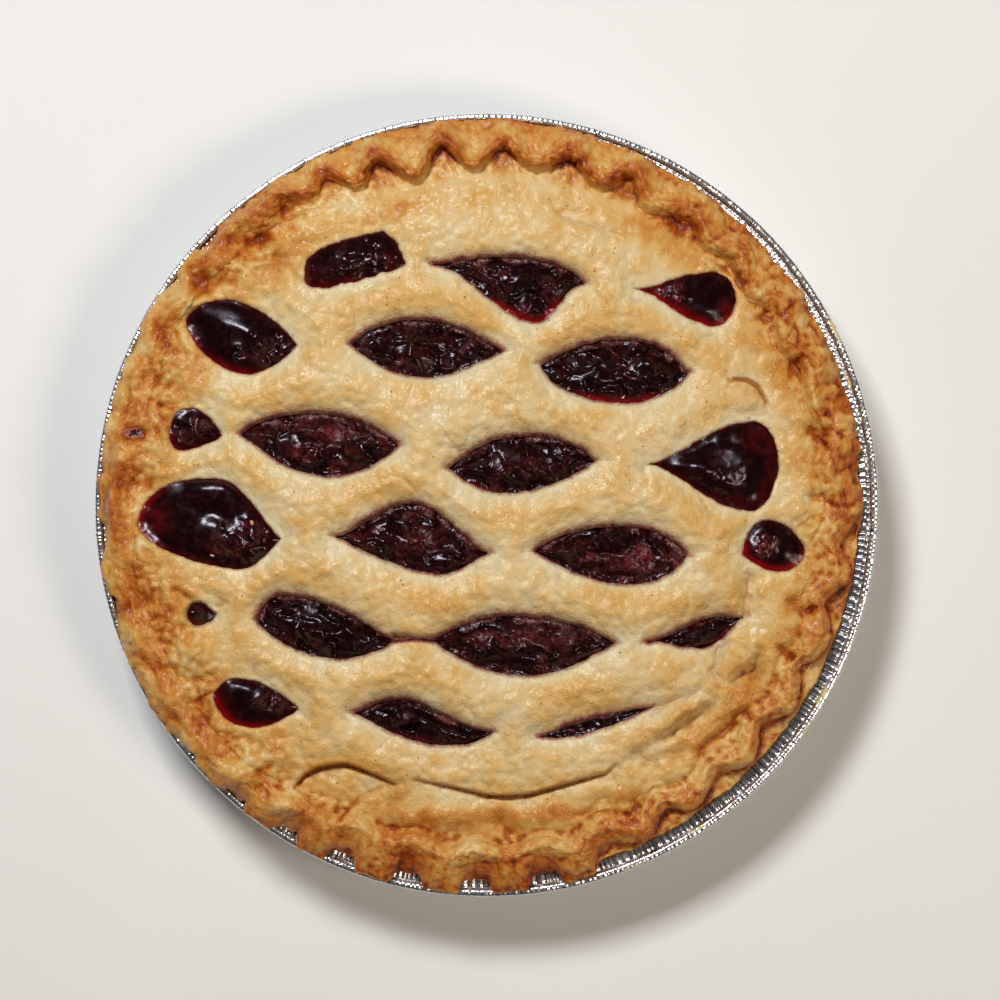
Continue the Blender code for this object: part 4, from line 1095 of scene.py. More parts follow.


# ---- filling -----------------------------------------------------------------
# the fruit in each slot: bulging slots are smooth, glassy jelly except the lumpy parts listed in LUMPY
def filling_piece(lip_z):
    pts, faces, thin, pulp, skin, fringe, sheen = [], [], [], [], [], [], []
    count = 0
    for k, (name, loop) in enumerate(LOOPS.items()):
        bulging = name in BULGING
        nxt, prv = np.roll(loop, -1, 0), np.roll(loop, 1, 0)
        tan = nxt - prv
        tan /= np.maximum(1e-9, np.hypot(*tan.T))[:, None]
        nor = np.stack([tan[:, 1], -tan[:, 0]], 1)
        rim = loop + nor * 0.22
        lo, hi = loop.min(0), loop.max(0)
        gx, gy = hex_grid(0.45, lo, hi)
        ok = inside(gx, gy, loop)
        gx, gy = gx[ok], gy[ok]
        d, _, along = to_line(gx, gy, loop, closed=True)
        ok = d > 0.22
        gx, gy, d, along = gx[ok], gy[ok], d[ok], along[ok]
        d_max = d.max()
        drop = (0.8 if bulging else 2.7)
        plain = dome(loop[:, 0], loop[:, 1]) - drop
        corr = lip_z[name] - plain
        at = np.arange(len(loop) + 1) / len(loop)
        near_corr = np.interp(along, at, np.append(corr, corr[0]))
        plan = np.vstack([rim, loop + nor * 0.0, np.stack([gx, gy], 1)])
        # the loop itself is pulled in a hair so that the three rings stay apart
        plan[len(rim):2 * len(rim)] = loop - nor * 0.10
        dd = np.concatenate([np.zeros(2 * len(rim)), d])
        dd[len(rim):2 * len(rim)] = 0.1
        cc = np.concatenate([corr, corr, near_corr * np.exp(-d / 2.5)])
        x, y = plan.T
        tris = triangulate(plan, [np.arange(len(rim))])
        soft = mix(dd, blurred(dd, tris, len(dd), 18), smooth(0.2, 1.4, dd))
        base = dome(x, y) - drop + cc
        p = flat3(x, y)
        warp = np.stack([noise(p, 5, 81 + k), noise(p, 5, 82 + k), np.zeros(len(x))], 1)
        q = p + 1.5 * warp
        if bulging:
            width = min(0.95 * d_max, 7.0)
            rise = min(2.2, 0.25 * d_max + 0.25)
            prof = np.clip(1 - (1 - np.clip(soft / width, 0, 1)) ** 2, 0, 1) ** (1.9 if name == "C3" else 1.1)
            zz = base - 0.04 + rise * prof
            zz += 0.50 * noise(p, 8, 83) * smooth(0, 4, dd) + 0.20 * noise(q, 3.6, 84) * smooth(0, 2.5, dd)
            lumpy = lumpy_part(name, x, y) * smooth(0.4, 2.0, dd)
            fr = np.zeros(len(x))
            big, tone = facets(q, 4.2, 85 + k, 0.95)
            little, _ = facets(q, 1.9, 86 + k, 0.9)
            crag = {"C3": 0.3, "A1": 0.8, "D0": 0.8}.get(name, 1.0)
            zz += lumpy * (crag * (big + 0.75 * little) + 0.10 * noise(q, 1.0, 91))
            # thin jelly at the edge is red, brighter on the side turned from the key light: painted back-light glow
            away_from_key = (x - x.mean()) * -0.5 + (y - y.mean()) * -0.85
            away_from_key = smooth(-0.2, 0.9, away_from_key / max(4.0, d_max))
            glow = {"C3": 0.40, "D0": 0.40, "A1": 0.5, "B0": 0.7, "C0": 0.6, "E0": 0.6}.get(name, 1.0)
            th = glow * np.exp(-(dd / 2.2) ** 1.3) * (0.26 + 0.72 * away_from_key) * np.clip(0.75 + 0.5 * noise(p, 6, 87), 0, 1)
            th = np.maximum(th, 0.24 * np.exp(-(dd / 1.6) ** 2))
            calm = {"C3": 0.2, "B0": 0.3, "A1": 0.35, "E0": 0.4, "C0": 0.6, "D0": 0.7}.get(name, 1.0)
            pu = 0.55 * lumpy * smooth(0.60, 0.85, tone) * calm
            sk = lumpy * calm
        else:
            left, right = np.array(SLOTS[name][0]) * LID_SCALE, np.array(SLOTS[name][1]) * LID_SCALE
            ax = right - left
            up = (ax[0] * (y - left[1]) - ax[1] * (x - left[0])) / np.hypot(*ax)
            sunk = mix(0.20, 0.45, smooth(-1.5, 3.0, up))
            zz = base - sunk + 1.7 * (1 - np.exp(-(dd / 3.0) ** 2)) * min(1.0, d_max / 6)
            big, tone = facets(q, (6.6, 4.6, 5), 88 + k, 0.85)
            zz += big * smooth(0, 1.6, dd) - 0.25
            meaty = PULPY.get(name, 0.5)
            middle, tone2 = facets(q, (3.8, 2.9, 3), 89 + k, 0.80)
            ruck = smooth(-0.22 + 0.32 * (1 - meaty), 0.22 + 0.32 * (1 - meaty), noise(p, 7.0, 99))
            zz += (0.34 + 0.30 * ruck) * middle * smooth(0, 1.2, dd)
            little, _ = facets(q, 1.6, 90 + k, 0.70)
            zz += 0.24 * ruck * little * smooth(0, 0.8, dd)
            # fibres of the torn fruit run along the slot
            fibre = noise(np.column_stack([q[:, 0] * 0.42 + q[:, 1] * 0.10, q[:, 1] * 1.35, q[:, 2]]), 1.15, 94 + k)
            zz += 0.10 * ruck * fibre * smooth(0, 0.8, dd)
            th = 0.35 * np.exp(-(dd / 0.8) ** 2) * np.clip(0.4 + noise(p, 7, 92), 0, 1)
            pu = (0.15 + 0.85 * meaty) * (0.30 + 0.70 * ruck) * smooth(0.56 - 0.14 * meaty, 0.86 - 0.14 * meaty, 0.6 * tone + 0.4 * tone2 + 0.18 * noise(p, 7, 93))
            sk = np.clip(0.02 + (0.15 + 0.55 * meaty) * ruck + (0.10 + 0.30 * meaty) * smooth(0.5, 0.9, tone2) * (0.3 + 0.7 * ruck), 0, 1)
            # pinkish soaked crumb clinging under the upper lip
            fr = smooth(-0.5, 1.5, up) * np.exp(-(dd / np.clip(1.4 + 1.3 * noise(p, 5.0, 72), 0.5, 2.6)) ** 2) * np.clip(0.60 + 1.5 * noise(p, 4.0, 76) + 0.8 * noise(p, 1.1, 77), 0, 1)
            fr = np.maximum(fr, 0.35 * np.exp(-(dd / 0.6) ** 2) * np.clip(0.3 + noise(p, 3.0, 78), 0, 1))
        for px, py, a, b, turn, h in SHAPES:
            ct, st = math.cos(math.radians(turn)), math.sin(math.radians(turn))
            u, v = x - px * LID_SCALE, y - py * LID_SCALE
            g = ((u * ct + v * st) / a) ** 2 + ((-u * st + v * ct) / b) ** 2
            zz += h * np.exp(-g) * smooth(0.0, 1.5, dd)
        for px, py, a, b, width, depth, gel in RINGS:
            away = (np.hypot((x - px * LID_SCALE) / a, (y - py * LID_SCALE) / b) - 1) * b
            away = away + 1.3 * noise(p, 6.0, 95) + 0.5 * noise(p, 3.0, 96)
            zz += smooth(0.0, 2.0, dd) * depth * (1 - smooth(-4.5, 0.6, away)
                                                  - 0.8 * np.exp(-((away - 0.8) / width) ** 2))
            if name == "C3":
                east = smooth(-4.0, 6.0, (x - px * LID_SCALE) - 0.5 * (y - py * LID_SCALE))
                zz += 0.08 * noise(p, 1.5, 97) * smooth(-2.0, 1.0, away) * smooth(0, 1.5, dd)
                th = np.maximum(th, gel * smooth(0.0, 1.8, away) * (0.35 + 0.65 * east) * np.clip(0.9 + 0.5 * noise(p, 3.0, 79), 0.3, 1.2))
        sh = np.zeros(len(x))
        for px, py, a, b, turn, h in GLOSS:
            ct, st = math.cos(math.radians(turn)), math.sin(math.radians(turn))
            u, v = x - px * LID_SCALE, y - py * LID_SCALE
            g = ((u * ct + v * st) / a) ** 2 + ((-u * st + v * ct) / b) ** 2
            if g.min() > 0.5:
                continue
            # lean the surface so that it mirrors the key light
            w = h * np.exp(-g ** 1.5) * smooth(0.0, 1.0, dd)
            flat_z = zz[g.argmin()] + 0.133 * u - 0.276 * v
            zz = mix(zz, flat_z + 0.10 * noise(p, 2.6, 80) + 0.05 * noise(p, 1.2, 82), w)
            if name == "C3":
                zz += w * (0.13 * noise(p, 1.5, 74) + 0.08 * noise(p, 0.9, 73))
            sh = np.maximum(sh, w)
        for px, py, a, b, h in JUICE:
            window = np.exp(-((x - px * LID_SCALE) / a) ** 4 - ((y - py * LID_SCALE) / b) ** 4)
            th = np.maximum(th, h * window * np.exp(-(dd / 1.7) ** 2))
        for px, py, a, b, h in CLEAR:
            th = np.maximum(th, h * np.exp(-((x - px * LID_SCALE) / a) ** 2 - ((y - py * LID_SCALE) / b) ** 2)
                            * np.clip(0.9 + 0.5 * noise(p, 4.0, 75), 0.3, 1.2))
        for px, py, a, b, h in PULP:
            pu = np.maximum(pu, h * np.exp(-((x - px * LID_SCALE) / a) ** 2 - ((y - py * LID_SCALE) / b) ** 2))
        n_rim = len(rim)
        if bulging:
            zz = mix(blurred(zz, tris, len(zz), 5), zz, np.clip(0.7 * lumpy, 0, 1))
        zz[:n_rim] = np.minimum(zz[:n_rim], lip_z[name] - (0.08 if bulging else 0.35))
        top = np.column_stack([x, y, zz])
        mid = plan[tris].mean(1)
        all_rim = (tris < n_rim).all(1)
        bad = np.zeros(len(tris), bool)
        m = np.flatnonzero(all_rim)
        bad[m] = ~inside(mid[m, 0], mid[m, 1], rim)
        tris = tris[~bad]
        cw = signed_area(plan, tris) < 0
        tris[cw] = tris[cw][:, ::-1]
        ids = np.arange(n_rim)
        low = len(top) + ids
        depth = dome(rim[:, 0], rim[:, 1]) - LID - 3.0
        pts.append(np.vstack([top, np.column_stack([rim, depth])]))
        faces.append(np.vstack([tris, strip_faces(ids, low)[:, ::-1]]) + count)
        bottom = triangulate(rim, [ids])
        mid = rim[bottom].mean(1)
        bottom = bottom[inside(mid[:, 0], mid[:, 1], rim)]
        ccw = signed_area(rim, bottom) > 0
        bottom[ccw] = bottom[ccw][:, ::-1]
        faces.append(bottom + len(top) + count)
        z0 = np.zeros(n_rim)
        thin += [th, z0]
        pulp += [pu, z0]
        skin += [sk, z0 + 1]
        fringe += [fr, z0]
        sheen += [sh, z0]
        count += len(top) + n_rim
    # the body of the filling under the lid
    nx, nz = wall_normal()
    d = FOIL + GAP + SIDE_CRUST + GAP
    floor = FOIL + GAP + BOTTOM_CRUST + GAP
    foot = BASE_CORNER[0] - nx * d
    sides = 96
    ang = 2 * math.pi * np.arange(sides) / sides
    c, s = np.cos(ang), np.sin(ang)
    prof = [(0.5, floor), (foot - 3, floor), (foot + .6, floor + 1.6), (103.5, VALLEY_Z - LID - GAP)]
    rings = [np.column_stack([r * c, r * s, np.full(sides, z)]) for r, z in prof]
    for r in (100, 94, 84, 68, 48, 24, 0.5):
        rings.append(np.column_stack([r * c, r * s, dome(r * c, r * s) - LID - GAP - 1.2]))
    body = np.vstack(rings)
    ids = count + np.arange(len(body)).reshape(len(rings), sides)
    pts.append(body)
    faces += [strip_faces(ids[i], ids[i + 1])[:, ::-1] for i in range(len(rings) - 1)]
    thin.append(np.zeros(len(body)))
    pulp.append(np.zeros(len(body)))
    skin.append(np.ones(len(body)))
    fringe.append(np.zeros(len(body)))
    sheen.append(np.zeros(len(body)))
    caps = [ids[0][::-1].reshape(1, -1), ids[-1].reshape(1, -1)]
    tri = np.vstack(faces)
    print("filling", len(tri))
    return add_mesh("cherry_filling", np.vstack(pts), [tri] + caps,
                    {"thin": np.concatenate(thin), "pulp": np.concatenate(pulp),
                     "skin": np.concatenate(skin), "fringe": np.concatenate(fringe),
                     "sheen": np.concatenate(sheen)})


# how much torn pulp shows in each open slot; the rest is whole dark fruit
PULPY = {"A2": .5, "B1": .5, "B2": .3, "C1": .95, "C2": .5, "D1": .6, "D2": .9, "E1": .2,
         "E2": .7, "E3": .05, "F1": .08, "F2": .1}
# a raised cherry with clear jelly round it: x, y, half sizes, moat width, height, jelly
RINGS = ((68.5, 10.0, 11.0, 7.0, 2.0, 0.7, 0.26),)
# places where the fruit leans toward the light: x, y, half sizes, turn, amount
GLOSS = (
    (-77.5, 56.6, 6.5, 2.3, -15, .80), (-71.5, 46.5, 2.0, 4.0, 30, .55), (-90.8, 4.6, 4.0, 1.7, 35, .80),
    (-81.5, 6.6, 6.0, .9, -4, .75), (71.5, 13.0, 6.5, 4.0, -5, .80), (-87.6, 24.9, 2.0, 1.5, 20, .7),
    (8.8, 13.8, 3.6, 2.4, -10, .65), (-23.9, -6.1, 1.6, 3.4, 10, .60), (24.2, -40.5, 3.0, 1.6, -10, .6),
    (-75.6, -54.8, 2.0, 2.6, 0, .6), (84.5, -12.5, 2.2, 2.6, 10, .6), (-50, -31.5, 5.5, 1.6, -10, .6),
    (30, 38, 4.5, 2.2, -8, .5), (46, 36, 3.5, 1.8, -5, .5), (-28, 45, 5.0, 2.0, 0, .4),
    (62, -37, 4.0, 1.3, 20, .6), (-22, -61.5, 6.0, 1.6, -24, .5), (12, 59, 3.6, 2.0, -10, .4),
    (62, 58, 4.0, 1.8, -10, .6), (-62, 23, 3.5, 2.0, 0, .4), (38, -11, 3.5, 1.6, 0, .4),
    (-8, -37.5, 3.5, 1.8, 0, .35), (-40, 71.5, 5.0, 1.2, 12, .5), (81, 21, 3.0, 1.2, -45, .6),
)
# bright juice along a lip, and dull pulp: x, y, half sizes, amount
JUICE = ((12, 57, 11, 5, 1.0), (66, 55, 8, 5, .8), (38, 31, 13, 4, .8), (84, -18, 10, 6, 1.0),
         (-97, -4, 8, 9, .75), (-74, -61, 8, 6, .8), (-82, 40, 8, 6, .5), (-17, -66, 8, 4, .5),
         (66, -38, 8, 5, .4), (-50, 42, 8, 4, .3), (-3, 4, 10, 4, .4))
# thin see-through jelly
CLEAR = ((-98, -4.5, 7, 8, .34), (-79, -58, 4.5, 5, .42), (91.5, -17.5, 4, 5, .42), (-86, 44, 6, 6, .20),
         (-51, 66, 4, 5, .26), (-27.5, 72, 3, 4.5, .34), (71, 57.5, 4, 4, .42), (-88, 17.5, 4, 3, .30))
PULP = ((-45, 21, 8, 4, 1.0), (-20, -10, 6, 4, .85), (13, -38, 8, 3, .85), (43, -17, 10, 4, .9),
        (8, 13, 7, 3, .5), (-18, 46, 8, 3, .4))
# rolls and hollows of the fruit: x, y, half sizes, turn, height
SHAPES = (
    (-82, 6.0, 13, 2.4, -4, 0.9), (-80, -2.0, 8, 3.2, -12, -1.5), (-96, -3, 5, 8, 10, -0.7),
    (-71, -10, 8, 5, -25, 0.7), (60, 10.5, 6, 3, 0, 0.6),
    (-77, 54.5, 9, 3.2, -18, 0.7), (-70, 48, 8, 4, -30, 0.6), (-73, -53, 5, 2.6, 0, 0.5),
    (-66, -60.5, 9, 1.3, 17, 0.8), (-57, -31.5, 10, 2.0, -10, 0.9), (-55, -38, 8, 2.8, -10, 0.9),
    (-50, -34.6, 10, 1.2, -10, -0.9), (-20, -62, 13, 1.8, -22, 0.8), (84.6, -12, 3.5, 2.6, 0, 0.5),
    (-45, 68.5, 6, 1.4, 20, 0.6), (-36, 71, 7, 1.4, 20, 0.7), (63, -37.5, 8, 1.6, 20, 0.6),
    (2, 60, 8, 3, 0, 0.7), (20, 63, 7, 2.6, -10, 0.7), (42, 38, 10, 3, -5, 0.5),
    (-20, -7, 3.5, 5, 20, 0.9), (-15, -18, 4, 3, 0, 0.8), (10, 14, 6, 4, 0, 0.7),
    (8, -40, 9, 4, -10, 0.8), (24, -42, 8, 4, -20, 0.8),
)
# wrinkled, matt parts of the bulging fruit; the rest is smooth jelly
LUMPY = {"D0": ((-70, -11, 11, 7),), "C3": ((70, 9.5, 6.5, 6.5),), "B0": ((-65, 45, 8, 5),),
         "A1": ((-36, 69, 16, 7),), "C0": ((-86, 22, 5, 4),), "C4": ((82, -12, 4, 4),),
         "F0": ((-62, -58, 6, 3),), "A3": ((54, 62, 6, 4),), "E0": ((-84, -31, 3, 3),)}


def lumpy_part(name, x, y):
    out = np.zeros(len(x))
    wob = 0.9 * noise(flat3(x, y), 5.0, 97) + 0.5 * noise(flat3(x, y), 2.2, 98)
    for cx, cy, a, b in LUMPY.get(name, ()):
        d = ((x - cx * LID_SCALE) / a) ** 2 + ((y - cy * LID_SCALE) / b) ** 2
        out = np.maximum(out, 1 - smooth(0.2, 1.5, d + wob))
    return out


# ---- foil pan ----------------------------------------------------------------
def foil_piece():
    pleats, per = 392, 6
    n = pleats * per
    rng = np.random.default_rng(21)
    step = rng.uniform(0.45, 1.55, pleats)
    at = np.concatenate([[0], np.cumsum(step)]) / step.sum() * 2 * math.pi
    ang = np.interp(np.arange(n) / per, np.arange(pleats + 1), at)
    tall = rng.uniform(0.5, 1.3, pleats)
    k = np.arange(n) // per
    f = (np.arange(n) % per) / per
    lean = rng.uniform(-0.35, 0.35, pleats)
    fold = np.interp(f, (0, .2, .45, .8, 1), (-1, .2, 1, .5, -1)) * tall[k] + lean[k] * (f - 0.5)
    ribs = 640
    at = np.concatenate([[0], np.cumsum(rng.uniform(0.35, 1.65, ribs))])
    place = np.interp(ang, at / at[-1] * 2 * math.pi, np.arange(ribs + 1))
    height = rng.uniform(0.25, 1.3, ribs + 1)[place.astype(int)]
    rib = (np.abs(np.sin(np.pi * (place % 1.0))) ** 0.7 * 2 - 1) * height
    rim_g = rng.uniform(-1, 1, n)
    c, s = np.cos(ang), np.sin(ang)
    edge = flat3(110 * c, 110 * s)
    slow = noise(edge, 30, 95)
    bc = RIM_R - BEAD_R

    def bead(a, shrink=0.0):
        co, si = math.cos(math.radians(a)), math.sin(math.radians(a))
        return (bc + (BEAD_R - shrink) * math.copysign(abs(co) ** 0.7, co),
                BEAD_Z + (BEAD_R - shrink) * math.copysign(abs(si) ** 0.7, si))

    wall = [(mix(BASE_CORNER[0], WALL_TOP[0], t), mix(BASE_CORNER[1], WALL_TOP[1], t))
            for t in (0.08, .25, .45, .65, .82, .93)]
    # profile points: r, z, how far a pleat swings it outward and up, bead wrinkle
    prof = [(BASE_R, 0.0, 0, 0, 0), (86.7, 0.25, 0, 0, 0), (BASE_CORNER[0], BASE_CORNER[1], 0.05, 0, 0)]
    prof += [(r, z, 0.34, -0.16, 0) for r, z in wall]
    prof += [(WALL_TOP[0], WALL_TOP[1], 0.22, -0.2, 0), (110.3, 26.45, 0.05, 0.2, 0)]
    for a in (-150, -110, -70, -30, 5, 40, 70, 100, 130, 160):
        r, z = bead(a, 0.16)
        prof.append((r, z, 0, 0, 0.11))
    prof += [(111.95, 27.15, 0, 0.05, 0.03), (111.5, 27.40, 0, 0.30, 0)]
    inn = pan_inside()
    prof += [(110.6, 27.28, 0.0, 0.33, 0), (109.3, 27.10, 0.0, 0.33, 0), (108.0, 26.90, 0.04, 0.30, 0)]
    for t in (0.05, 0.12, 0.24):
        prof.append((mix(inn[2][0], inn[1][0], t), mix(inn[2][1], inn[1][1], t), 0.2, 0.1, 0))
    prof += [(inn[1][0], inn[1][1], 0, 0, 0), (inn[0][0], inn[0][1], 0, 0, 0)]
    pts = []
    for r, z, out, up, wr in prof:
        rr = r + out * fold + wr * np.sign(r - bc) * (rib + 0.25 * rim_g) + 0.12 * slow * (z > 20)
        zz = z + up * fold + wr * (rib + 0.25 * np.roll(rim_g, 3))
        rr = np.minimum(rr, RIM_R)
        pts.append(np.column_stack([rr * c, rr * s, np.maximum(zz, 0)]))
    rows = len(pts)
    grime, seam = [], []
    for i, (r, z, out, up, wr) in enumerate(prof):
        g = np.zeros(n)
        if i > 12 and z > 26:
            streak = np.clip(0.75 + 0.5 * noise(flat3(110 * c, 110 * s), 5, 96), 0, 1)
            g = np.exp(-((r - 111.95) / 0.33) ** 2) * streak
        grime.append(g)
        # seam: painted shade, dark in the folds of the pleats and between the wrinkles of the bead
        if out or up:
            seam.append(np.clip(-0.15 - fold, 0, 1) ** 0.8 * (1.0 if i > 12 else 0.6))
        else:
            seam.append(np.clip(-0.25 - rib, 0, 1) * (1.0 if wr > 0.1 else 0.0))
    ids = np.arange(rows * n).reshape(rows, n)
    faces = np.vstack([strip_faces(ids[i], ids[i + 1])[:, ::-1] for i in range(rows - 1)])
    faces = faces[:, ::-1]
    discs = [ids[0][::-1].reshape(1, -1), ids[-1].reshape(1, -1)]
    smear = np.zeros(rows * n)
    allp = np.vstack(pts)
    turn, out_r = np.arctan2(allp[:, 1], allp[:, 0]), np.hypot(allp[:, 0], allp[:, 1])
    for deg, r, along, across, h in SMEARS:
        run = (turn - math.radians(deg) + math.pi) % (2 * math.pi) - math.pi
        g = np.exp(-(run * r / along) ** 4 - ((out_r - r) / across) ** 2)
        smear = np.maximum(smear, h * g * (allp[:, 2] > 26.6))
    print("foil", len(faces))
    obj = add_mesh("foil_dish", allp, [faces] + discs,
                   {"grime": np.concatenate(grime), "smear": smear, "seam": np.concatenate(seam)})
    return obj


# dried egg along the rim: compass angle, radius, half length, half width, amount
SMEARS = ((-29.6, 112.4, 3.4, .6, 1.0), (-34.6, 113.5, 4.0, .5, .9), (26.7, 113.5, 5.0, .6, .9),
          (19.1, 111.6, 3.0, .6, .8), (-57.0, 112.6, 3.0, .5, .7), (-68.0, 113.4, 5.0, .5, .7),
          (-77.5, 112.8, 3.0, .5, .6), (36.0, 113.2, 4.0, .5, .7), (84.0, 112.8, 5.0, .6, .6))


# ---- crumbs ------------------------------------------------------------------
CRUMBS = ((-67.5, -5.2, 40.2, 1.0), (-67.9, -7.6, 40.3, 0.8), (-79, -14.5, 39.3, .6),
          (98.0, -56.0, 28.5, .6), (94.2, -62.5, 28.5, .5), (63, -94.5, 28.5, .5), (101.5, 52, 28.5, .5))


def crumb_piece():
    rng = np.random.default_rng(5)
    pts, faces = [], []
    count = 0
    # a rounded lump of 6 x 4 points, squeezed and roughened
    for x, y, z, size in CRUMBS:
        rows, cols = 5, 8
        lump = [(0, 0, 1)]
        for i in range(1, rows):
            for j in range(cols):
                a, b = math.pi * i / rows, 2 * math.pi * (j + 0.5 * (i % 2)) / cols
                lump.append((math.sin(a) * math.cos(b), math.sin(a) * math.sin(b), math.cos(a)))
        lump.append((0, 0, -1))
        lump = np.array(lump) * rng.uniform(0.85, 1.15, (len(lump), 1))
        lump = lump * (rng.uniform(.8, 1.3), rng.uniform(.5, .8), .42) * size
        t = rng.uniform(0, 6.28)
        rot = np.array([[math.cos(t), -math.sin(t), 0], [math.sin(t), math.cos(t), 0], [0, 0, 1]])
        pts.append(lump @ rot.T + (x, y, z))
        ring = [1 + i * cols + np.arange(cols) for i in range(rows - 1)]
        f = [(0, ring[0][j], ring[0][(j + 1) % cols]) for j in range(cols)]
        for i in range(rows - 2):
            for j in range(cols):
                a, b, c2, d = ring[i][j], ring[i + 1][j], ring[i + 1][(j + 1) % cols], ring[i][(j + 1) % cols]
                f += [(a, b, c2), (a, c2, d)]
        last = len(lump) - 1
        f += [(last, ring[-1][(j + 1) % cols], ring[-1][j]) for j in range(cols)]
        faces.append(np.array(f) + count)
        count += len(lump)
    return add_mesh("crumbs", np.vstack(pts), [np.vstack(faces)])


# ---- materials ---------------------------------------------------------------
def srgb(r, g, b):
    out = []
    for v in (r, g, b):
        v /= 255.0
        out.append(v / 12.92 if v <= 0.04045 else ((v + 0.055) / 1.055) ** 2.4)
    return (*out, 1.0)


class Nodes:
    """Small helper that adds and links shader nodes."""

    def __init__(self, name):
        self.mat = bpy.data.materials.new(name)
        self.mat.use_nodes = True
        self.tree = self.mat.node_tree
        self.tree.nodes.clear()
        self.out = self.tree.nodes.new("ShaderNodeOutputMaterial")
        self.shader = self.tree.nodes.new("ShaderNodeBsdfPrincipled")
        self.tree.links.new(self.shader.outputs[0], self.out.inputs[0])
        co = self.tree.nodes.new("ShaderNodeTexCoord")
        size = self.tree.nodes.new("ShaderNodeVectorMath")
        size.operation = "SCALE"
        size.inputs["Scale"].default_value = 1.0 / MM      # object space in mm
        self.tree.links.new(co.outputs["Object"], size.inputs[0])
        self.place = size.outputs[0]

    def link(self, value, socket):
        if isinstance(value, bpy.types.NodeSocket):
            self.tree.links.new(value, socket)
        elif value is not None:
            socket.default_value = value

    def attr(self, name):
        n = self.tree.nodes.new("ShaderNodeAttribute")
        n.attribute_name = name
        return n.outputs["Fac"]

    def noise(self, size, detail=3.0, rough=0.55, warp=0.0, vec=None, kind="FBM"):
        n = self.tree.nodes.new("ShaderNodeTexNoise")
        self.link(vec or self.place, n.inputs["Vector"])
        n.inputs["Scale"].default_value = 1.0 / size
        n.inputs["Detail"].default_value = detail
        n.inputs["Roughness"].default_value = rough
        n.inputs["Distortion"].default_value = warp
        return n.outputs["Fac"]

    def voronoi(self, size, feature="F1", vec=None, smoothness=None):
        n = self.tree.nodes.new("ShaderNodeTexVoronoi")
        n.feature = feature
        self.link(vec or self.place, n.inputs["Vector"])
        n.inputs["Scale"].default_value = 1.0 / size
        return n.outputs["Distance"]

    def math(self, op, a, b=None, c=None, clamp=False):
        n = self.tree.nodes.new("ShaderNodeMath")
        n.operation = op
        n.use_clamp = clamp
        for v, s in zip((a, b, c), n.inputs):
            self.link(v, s)
        return n.outputs[0]

    def add(self, *terms):
        total = terms[0]
        for t in terms[1:]:
            total = self.math("ADD", total, t)
        return total

    def scale(self, a, k, offset=0.0):
        return self.math("MULTIPLY_ADD", a, k, offset)

    def remap(self, v, lo, hi, to_lo=0.0, to_hi=1.0, smoothstep=True):
        n = self.tree.nodes.new("ShaderNodeMapRange")
        n.interpolation_type = "SMOOTHSTEP" if smoothstep else "LINEAR"
        self.link(v, n.inputs["Value"])
        n.inputs["From Min"].default_value = lo
        n.inputs["From Max"].default_value = hi
        n.inputs["To Min"].default_value = to_lo
        n.inputs["To Max"].default_value = to_hi
        return n.outputs[0]

    def ramp(self, v, stops):
        n = self.tree.nodes.new("ShaderNodeValToRGB")
        e = n.color_ramp.elements
        while len(e) < len(stops):
            e.new(0.5)
        for el, (at, col) in zip(e, stops):
            el.position = at
            el.color = col
        self.link(v, n.inputs[0])
        return n.outputs[0]

    def mix(self, fac, a, b, blend="MIX"):
        n = self.tree.nodes.new("ShaderNodeMix")
        n.data_type = "RGBA"
        n.blend_type = blend
        n.clamp_factor = True
        self.link(fac, n.inputs[0])
        self.link(a, n.inputs[6])
        self.link(b, n.inputs[7])
        return n.outputs[2]

    def bump(self, height, strength, distance, normal=None):
        n = self.tree.nodes.new("ShaderNodeBump")
        n.inputs["Strength"].default_value = strength
        n.inputs["Distance"].default_value = distance * MM
        self.link(height, n.inputs["Height"])
        self.link(normal, n.inputs["Normal"])
        return n.outputs[0]

    def set(self, name, value):
        self.link(value, self.shader.inputs[name])


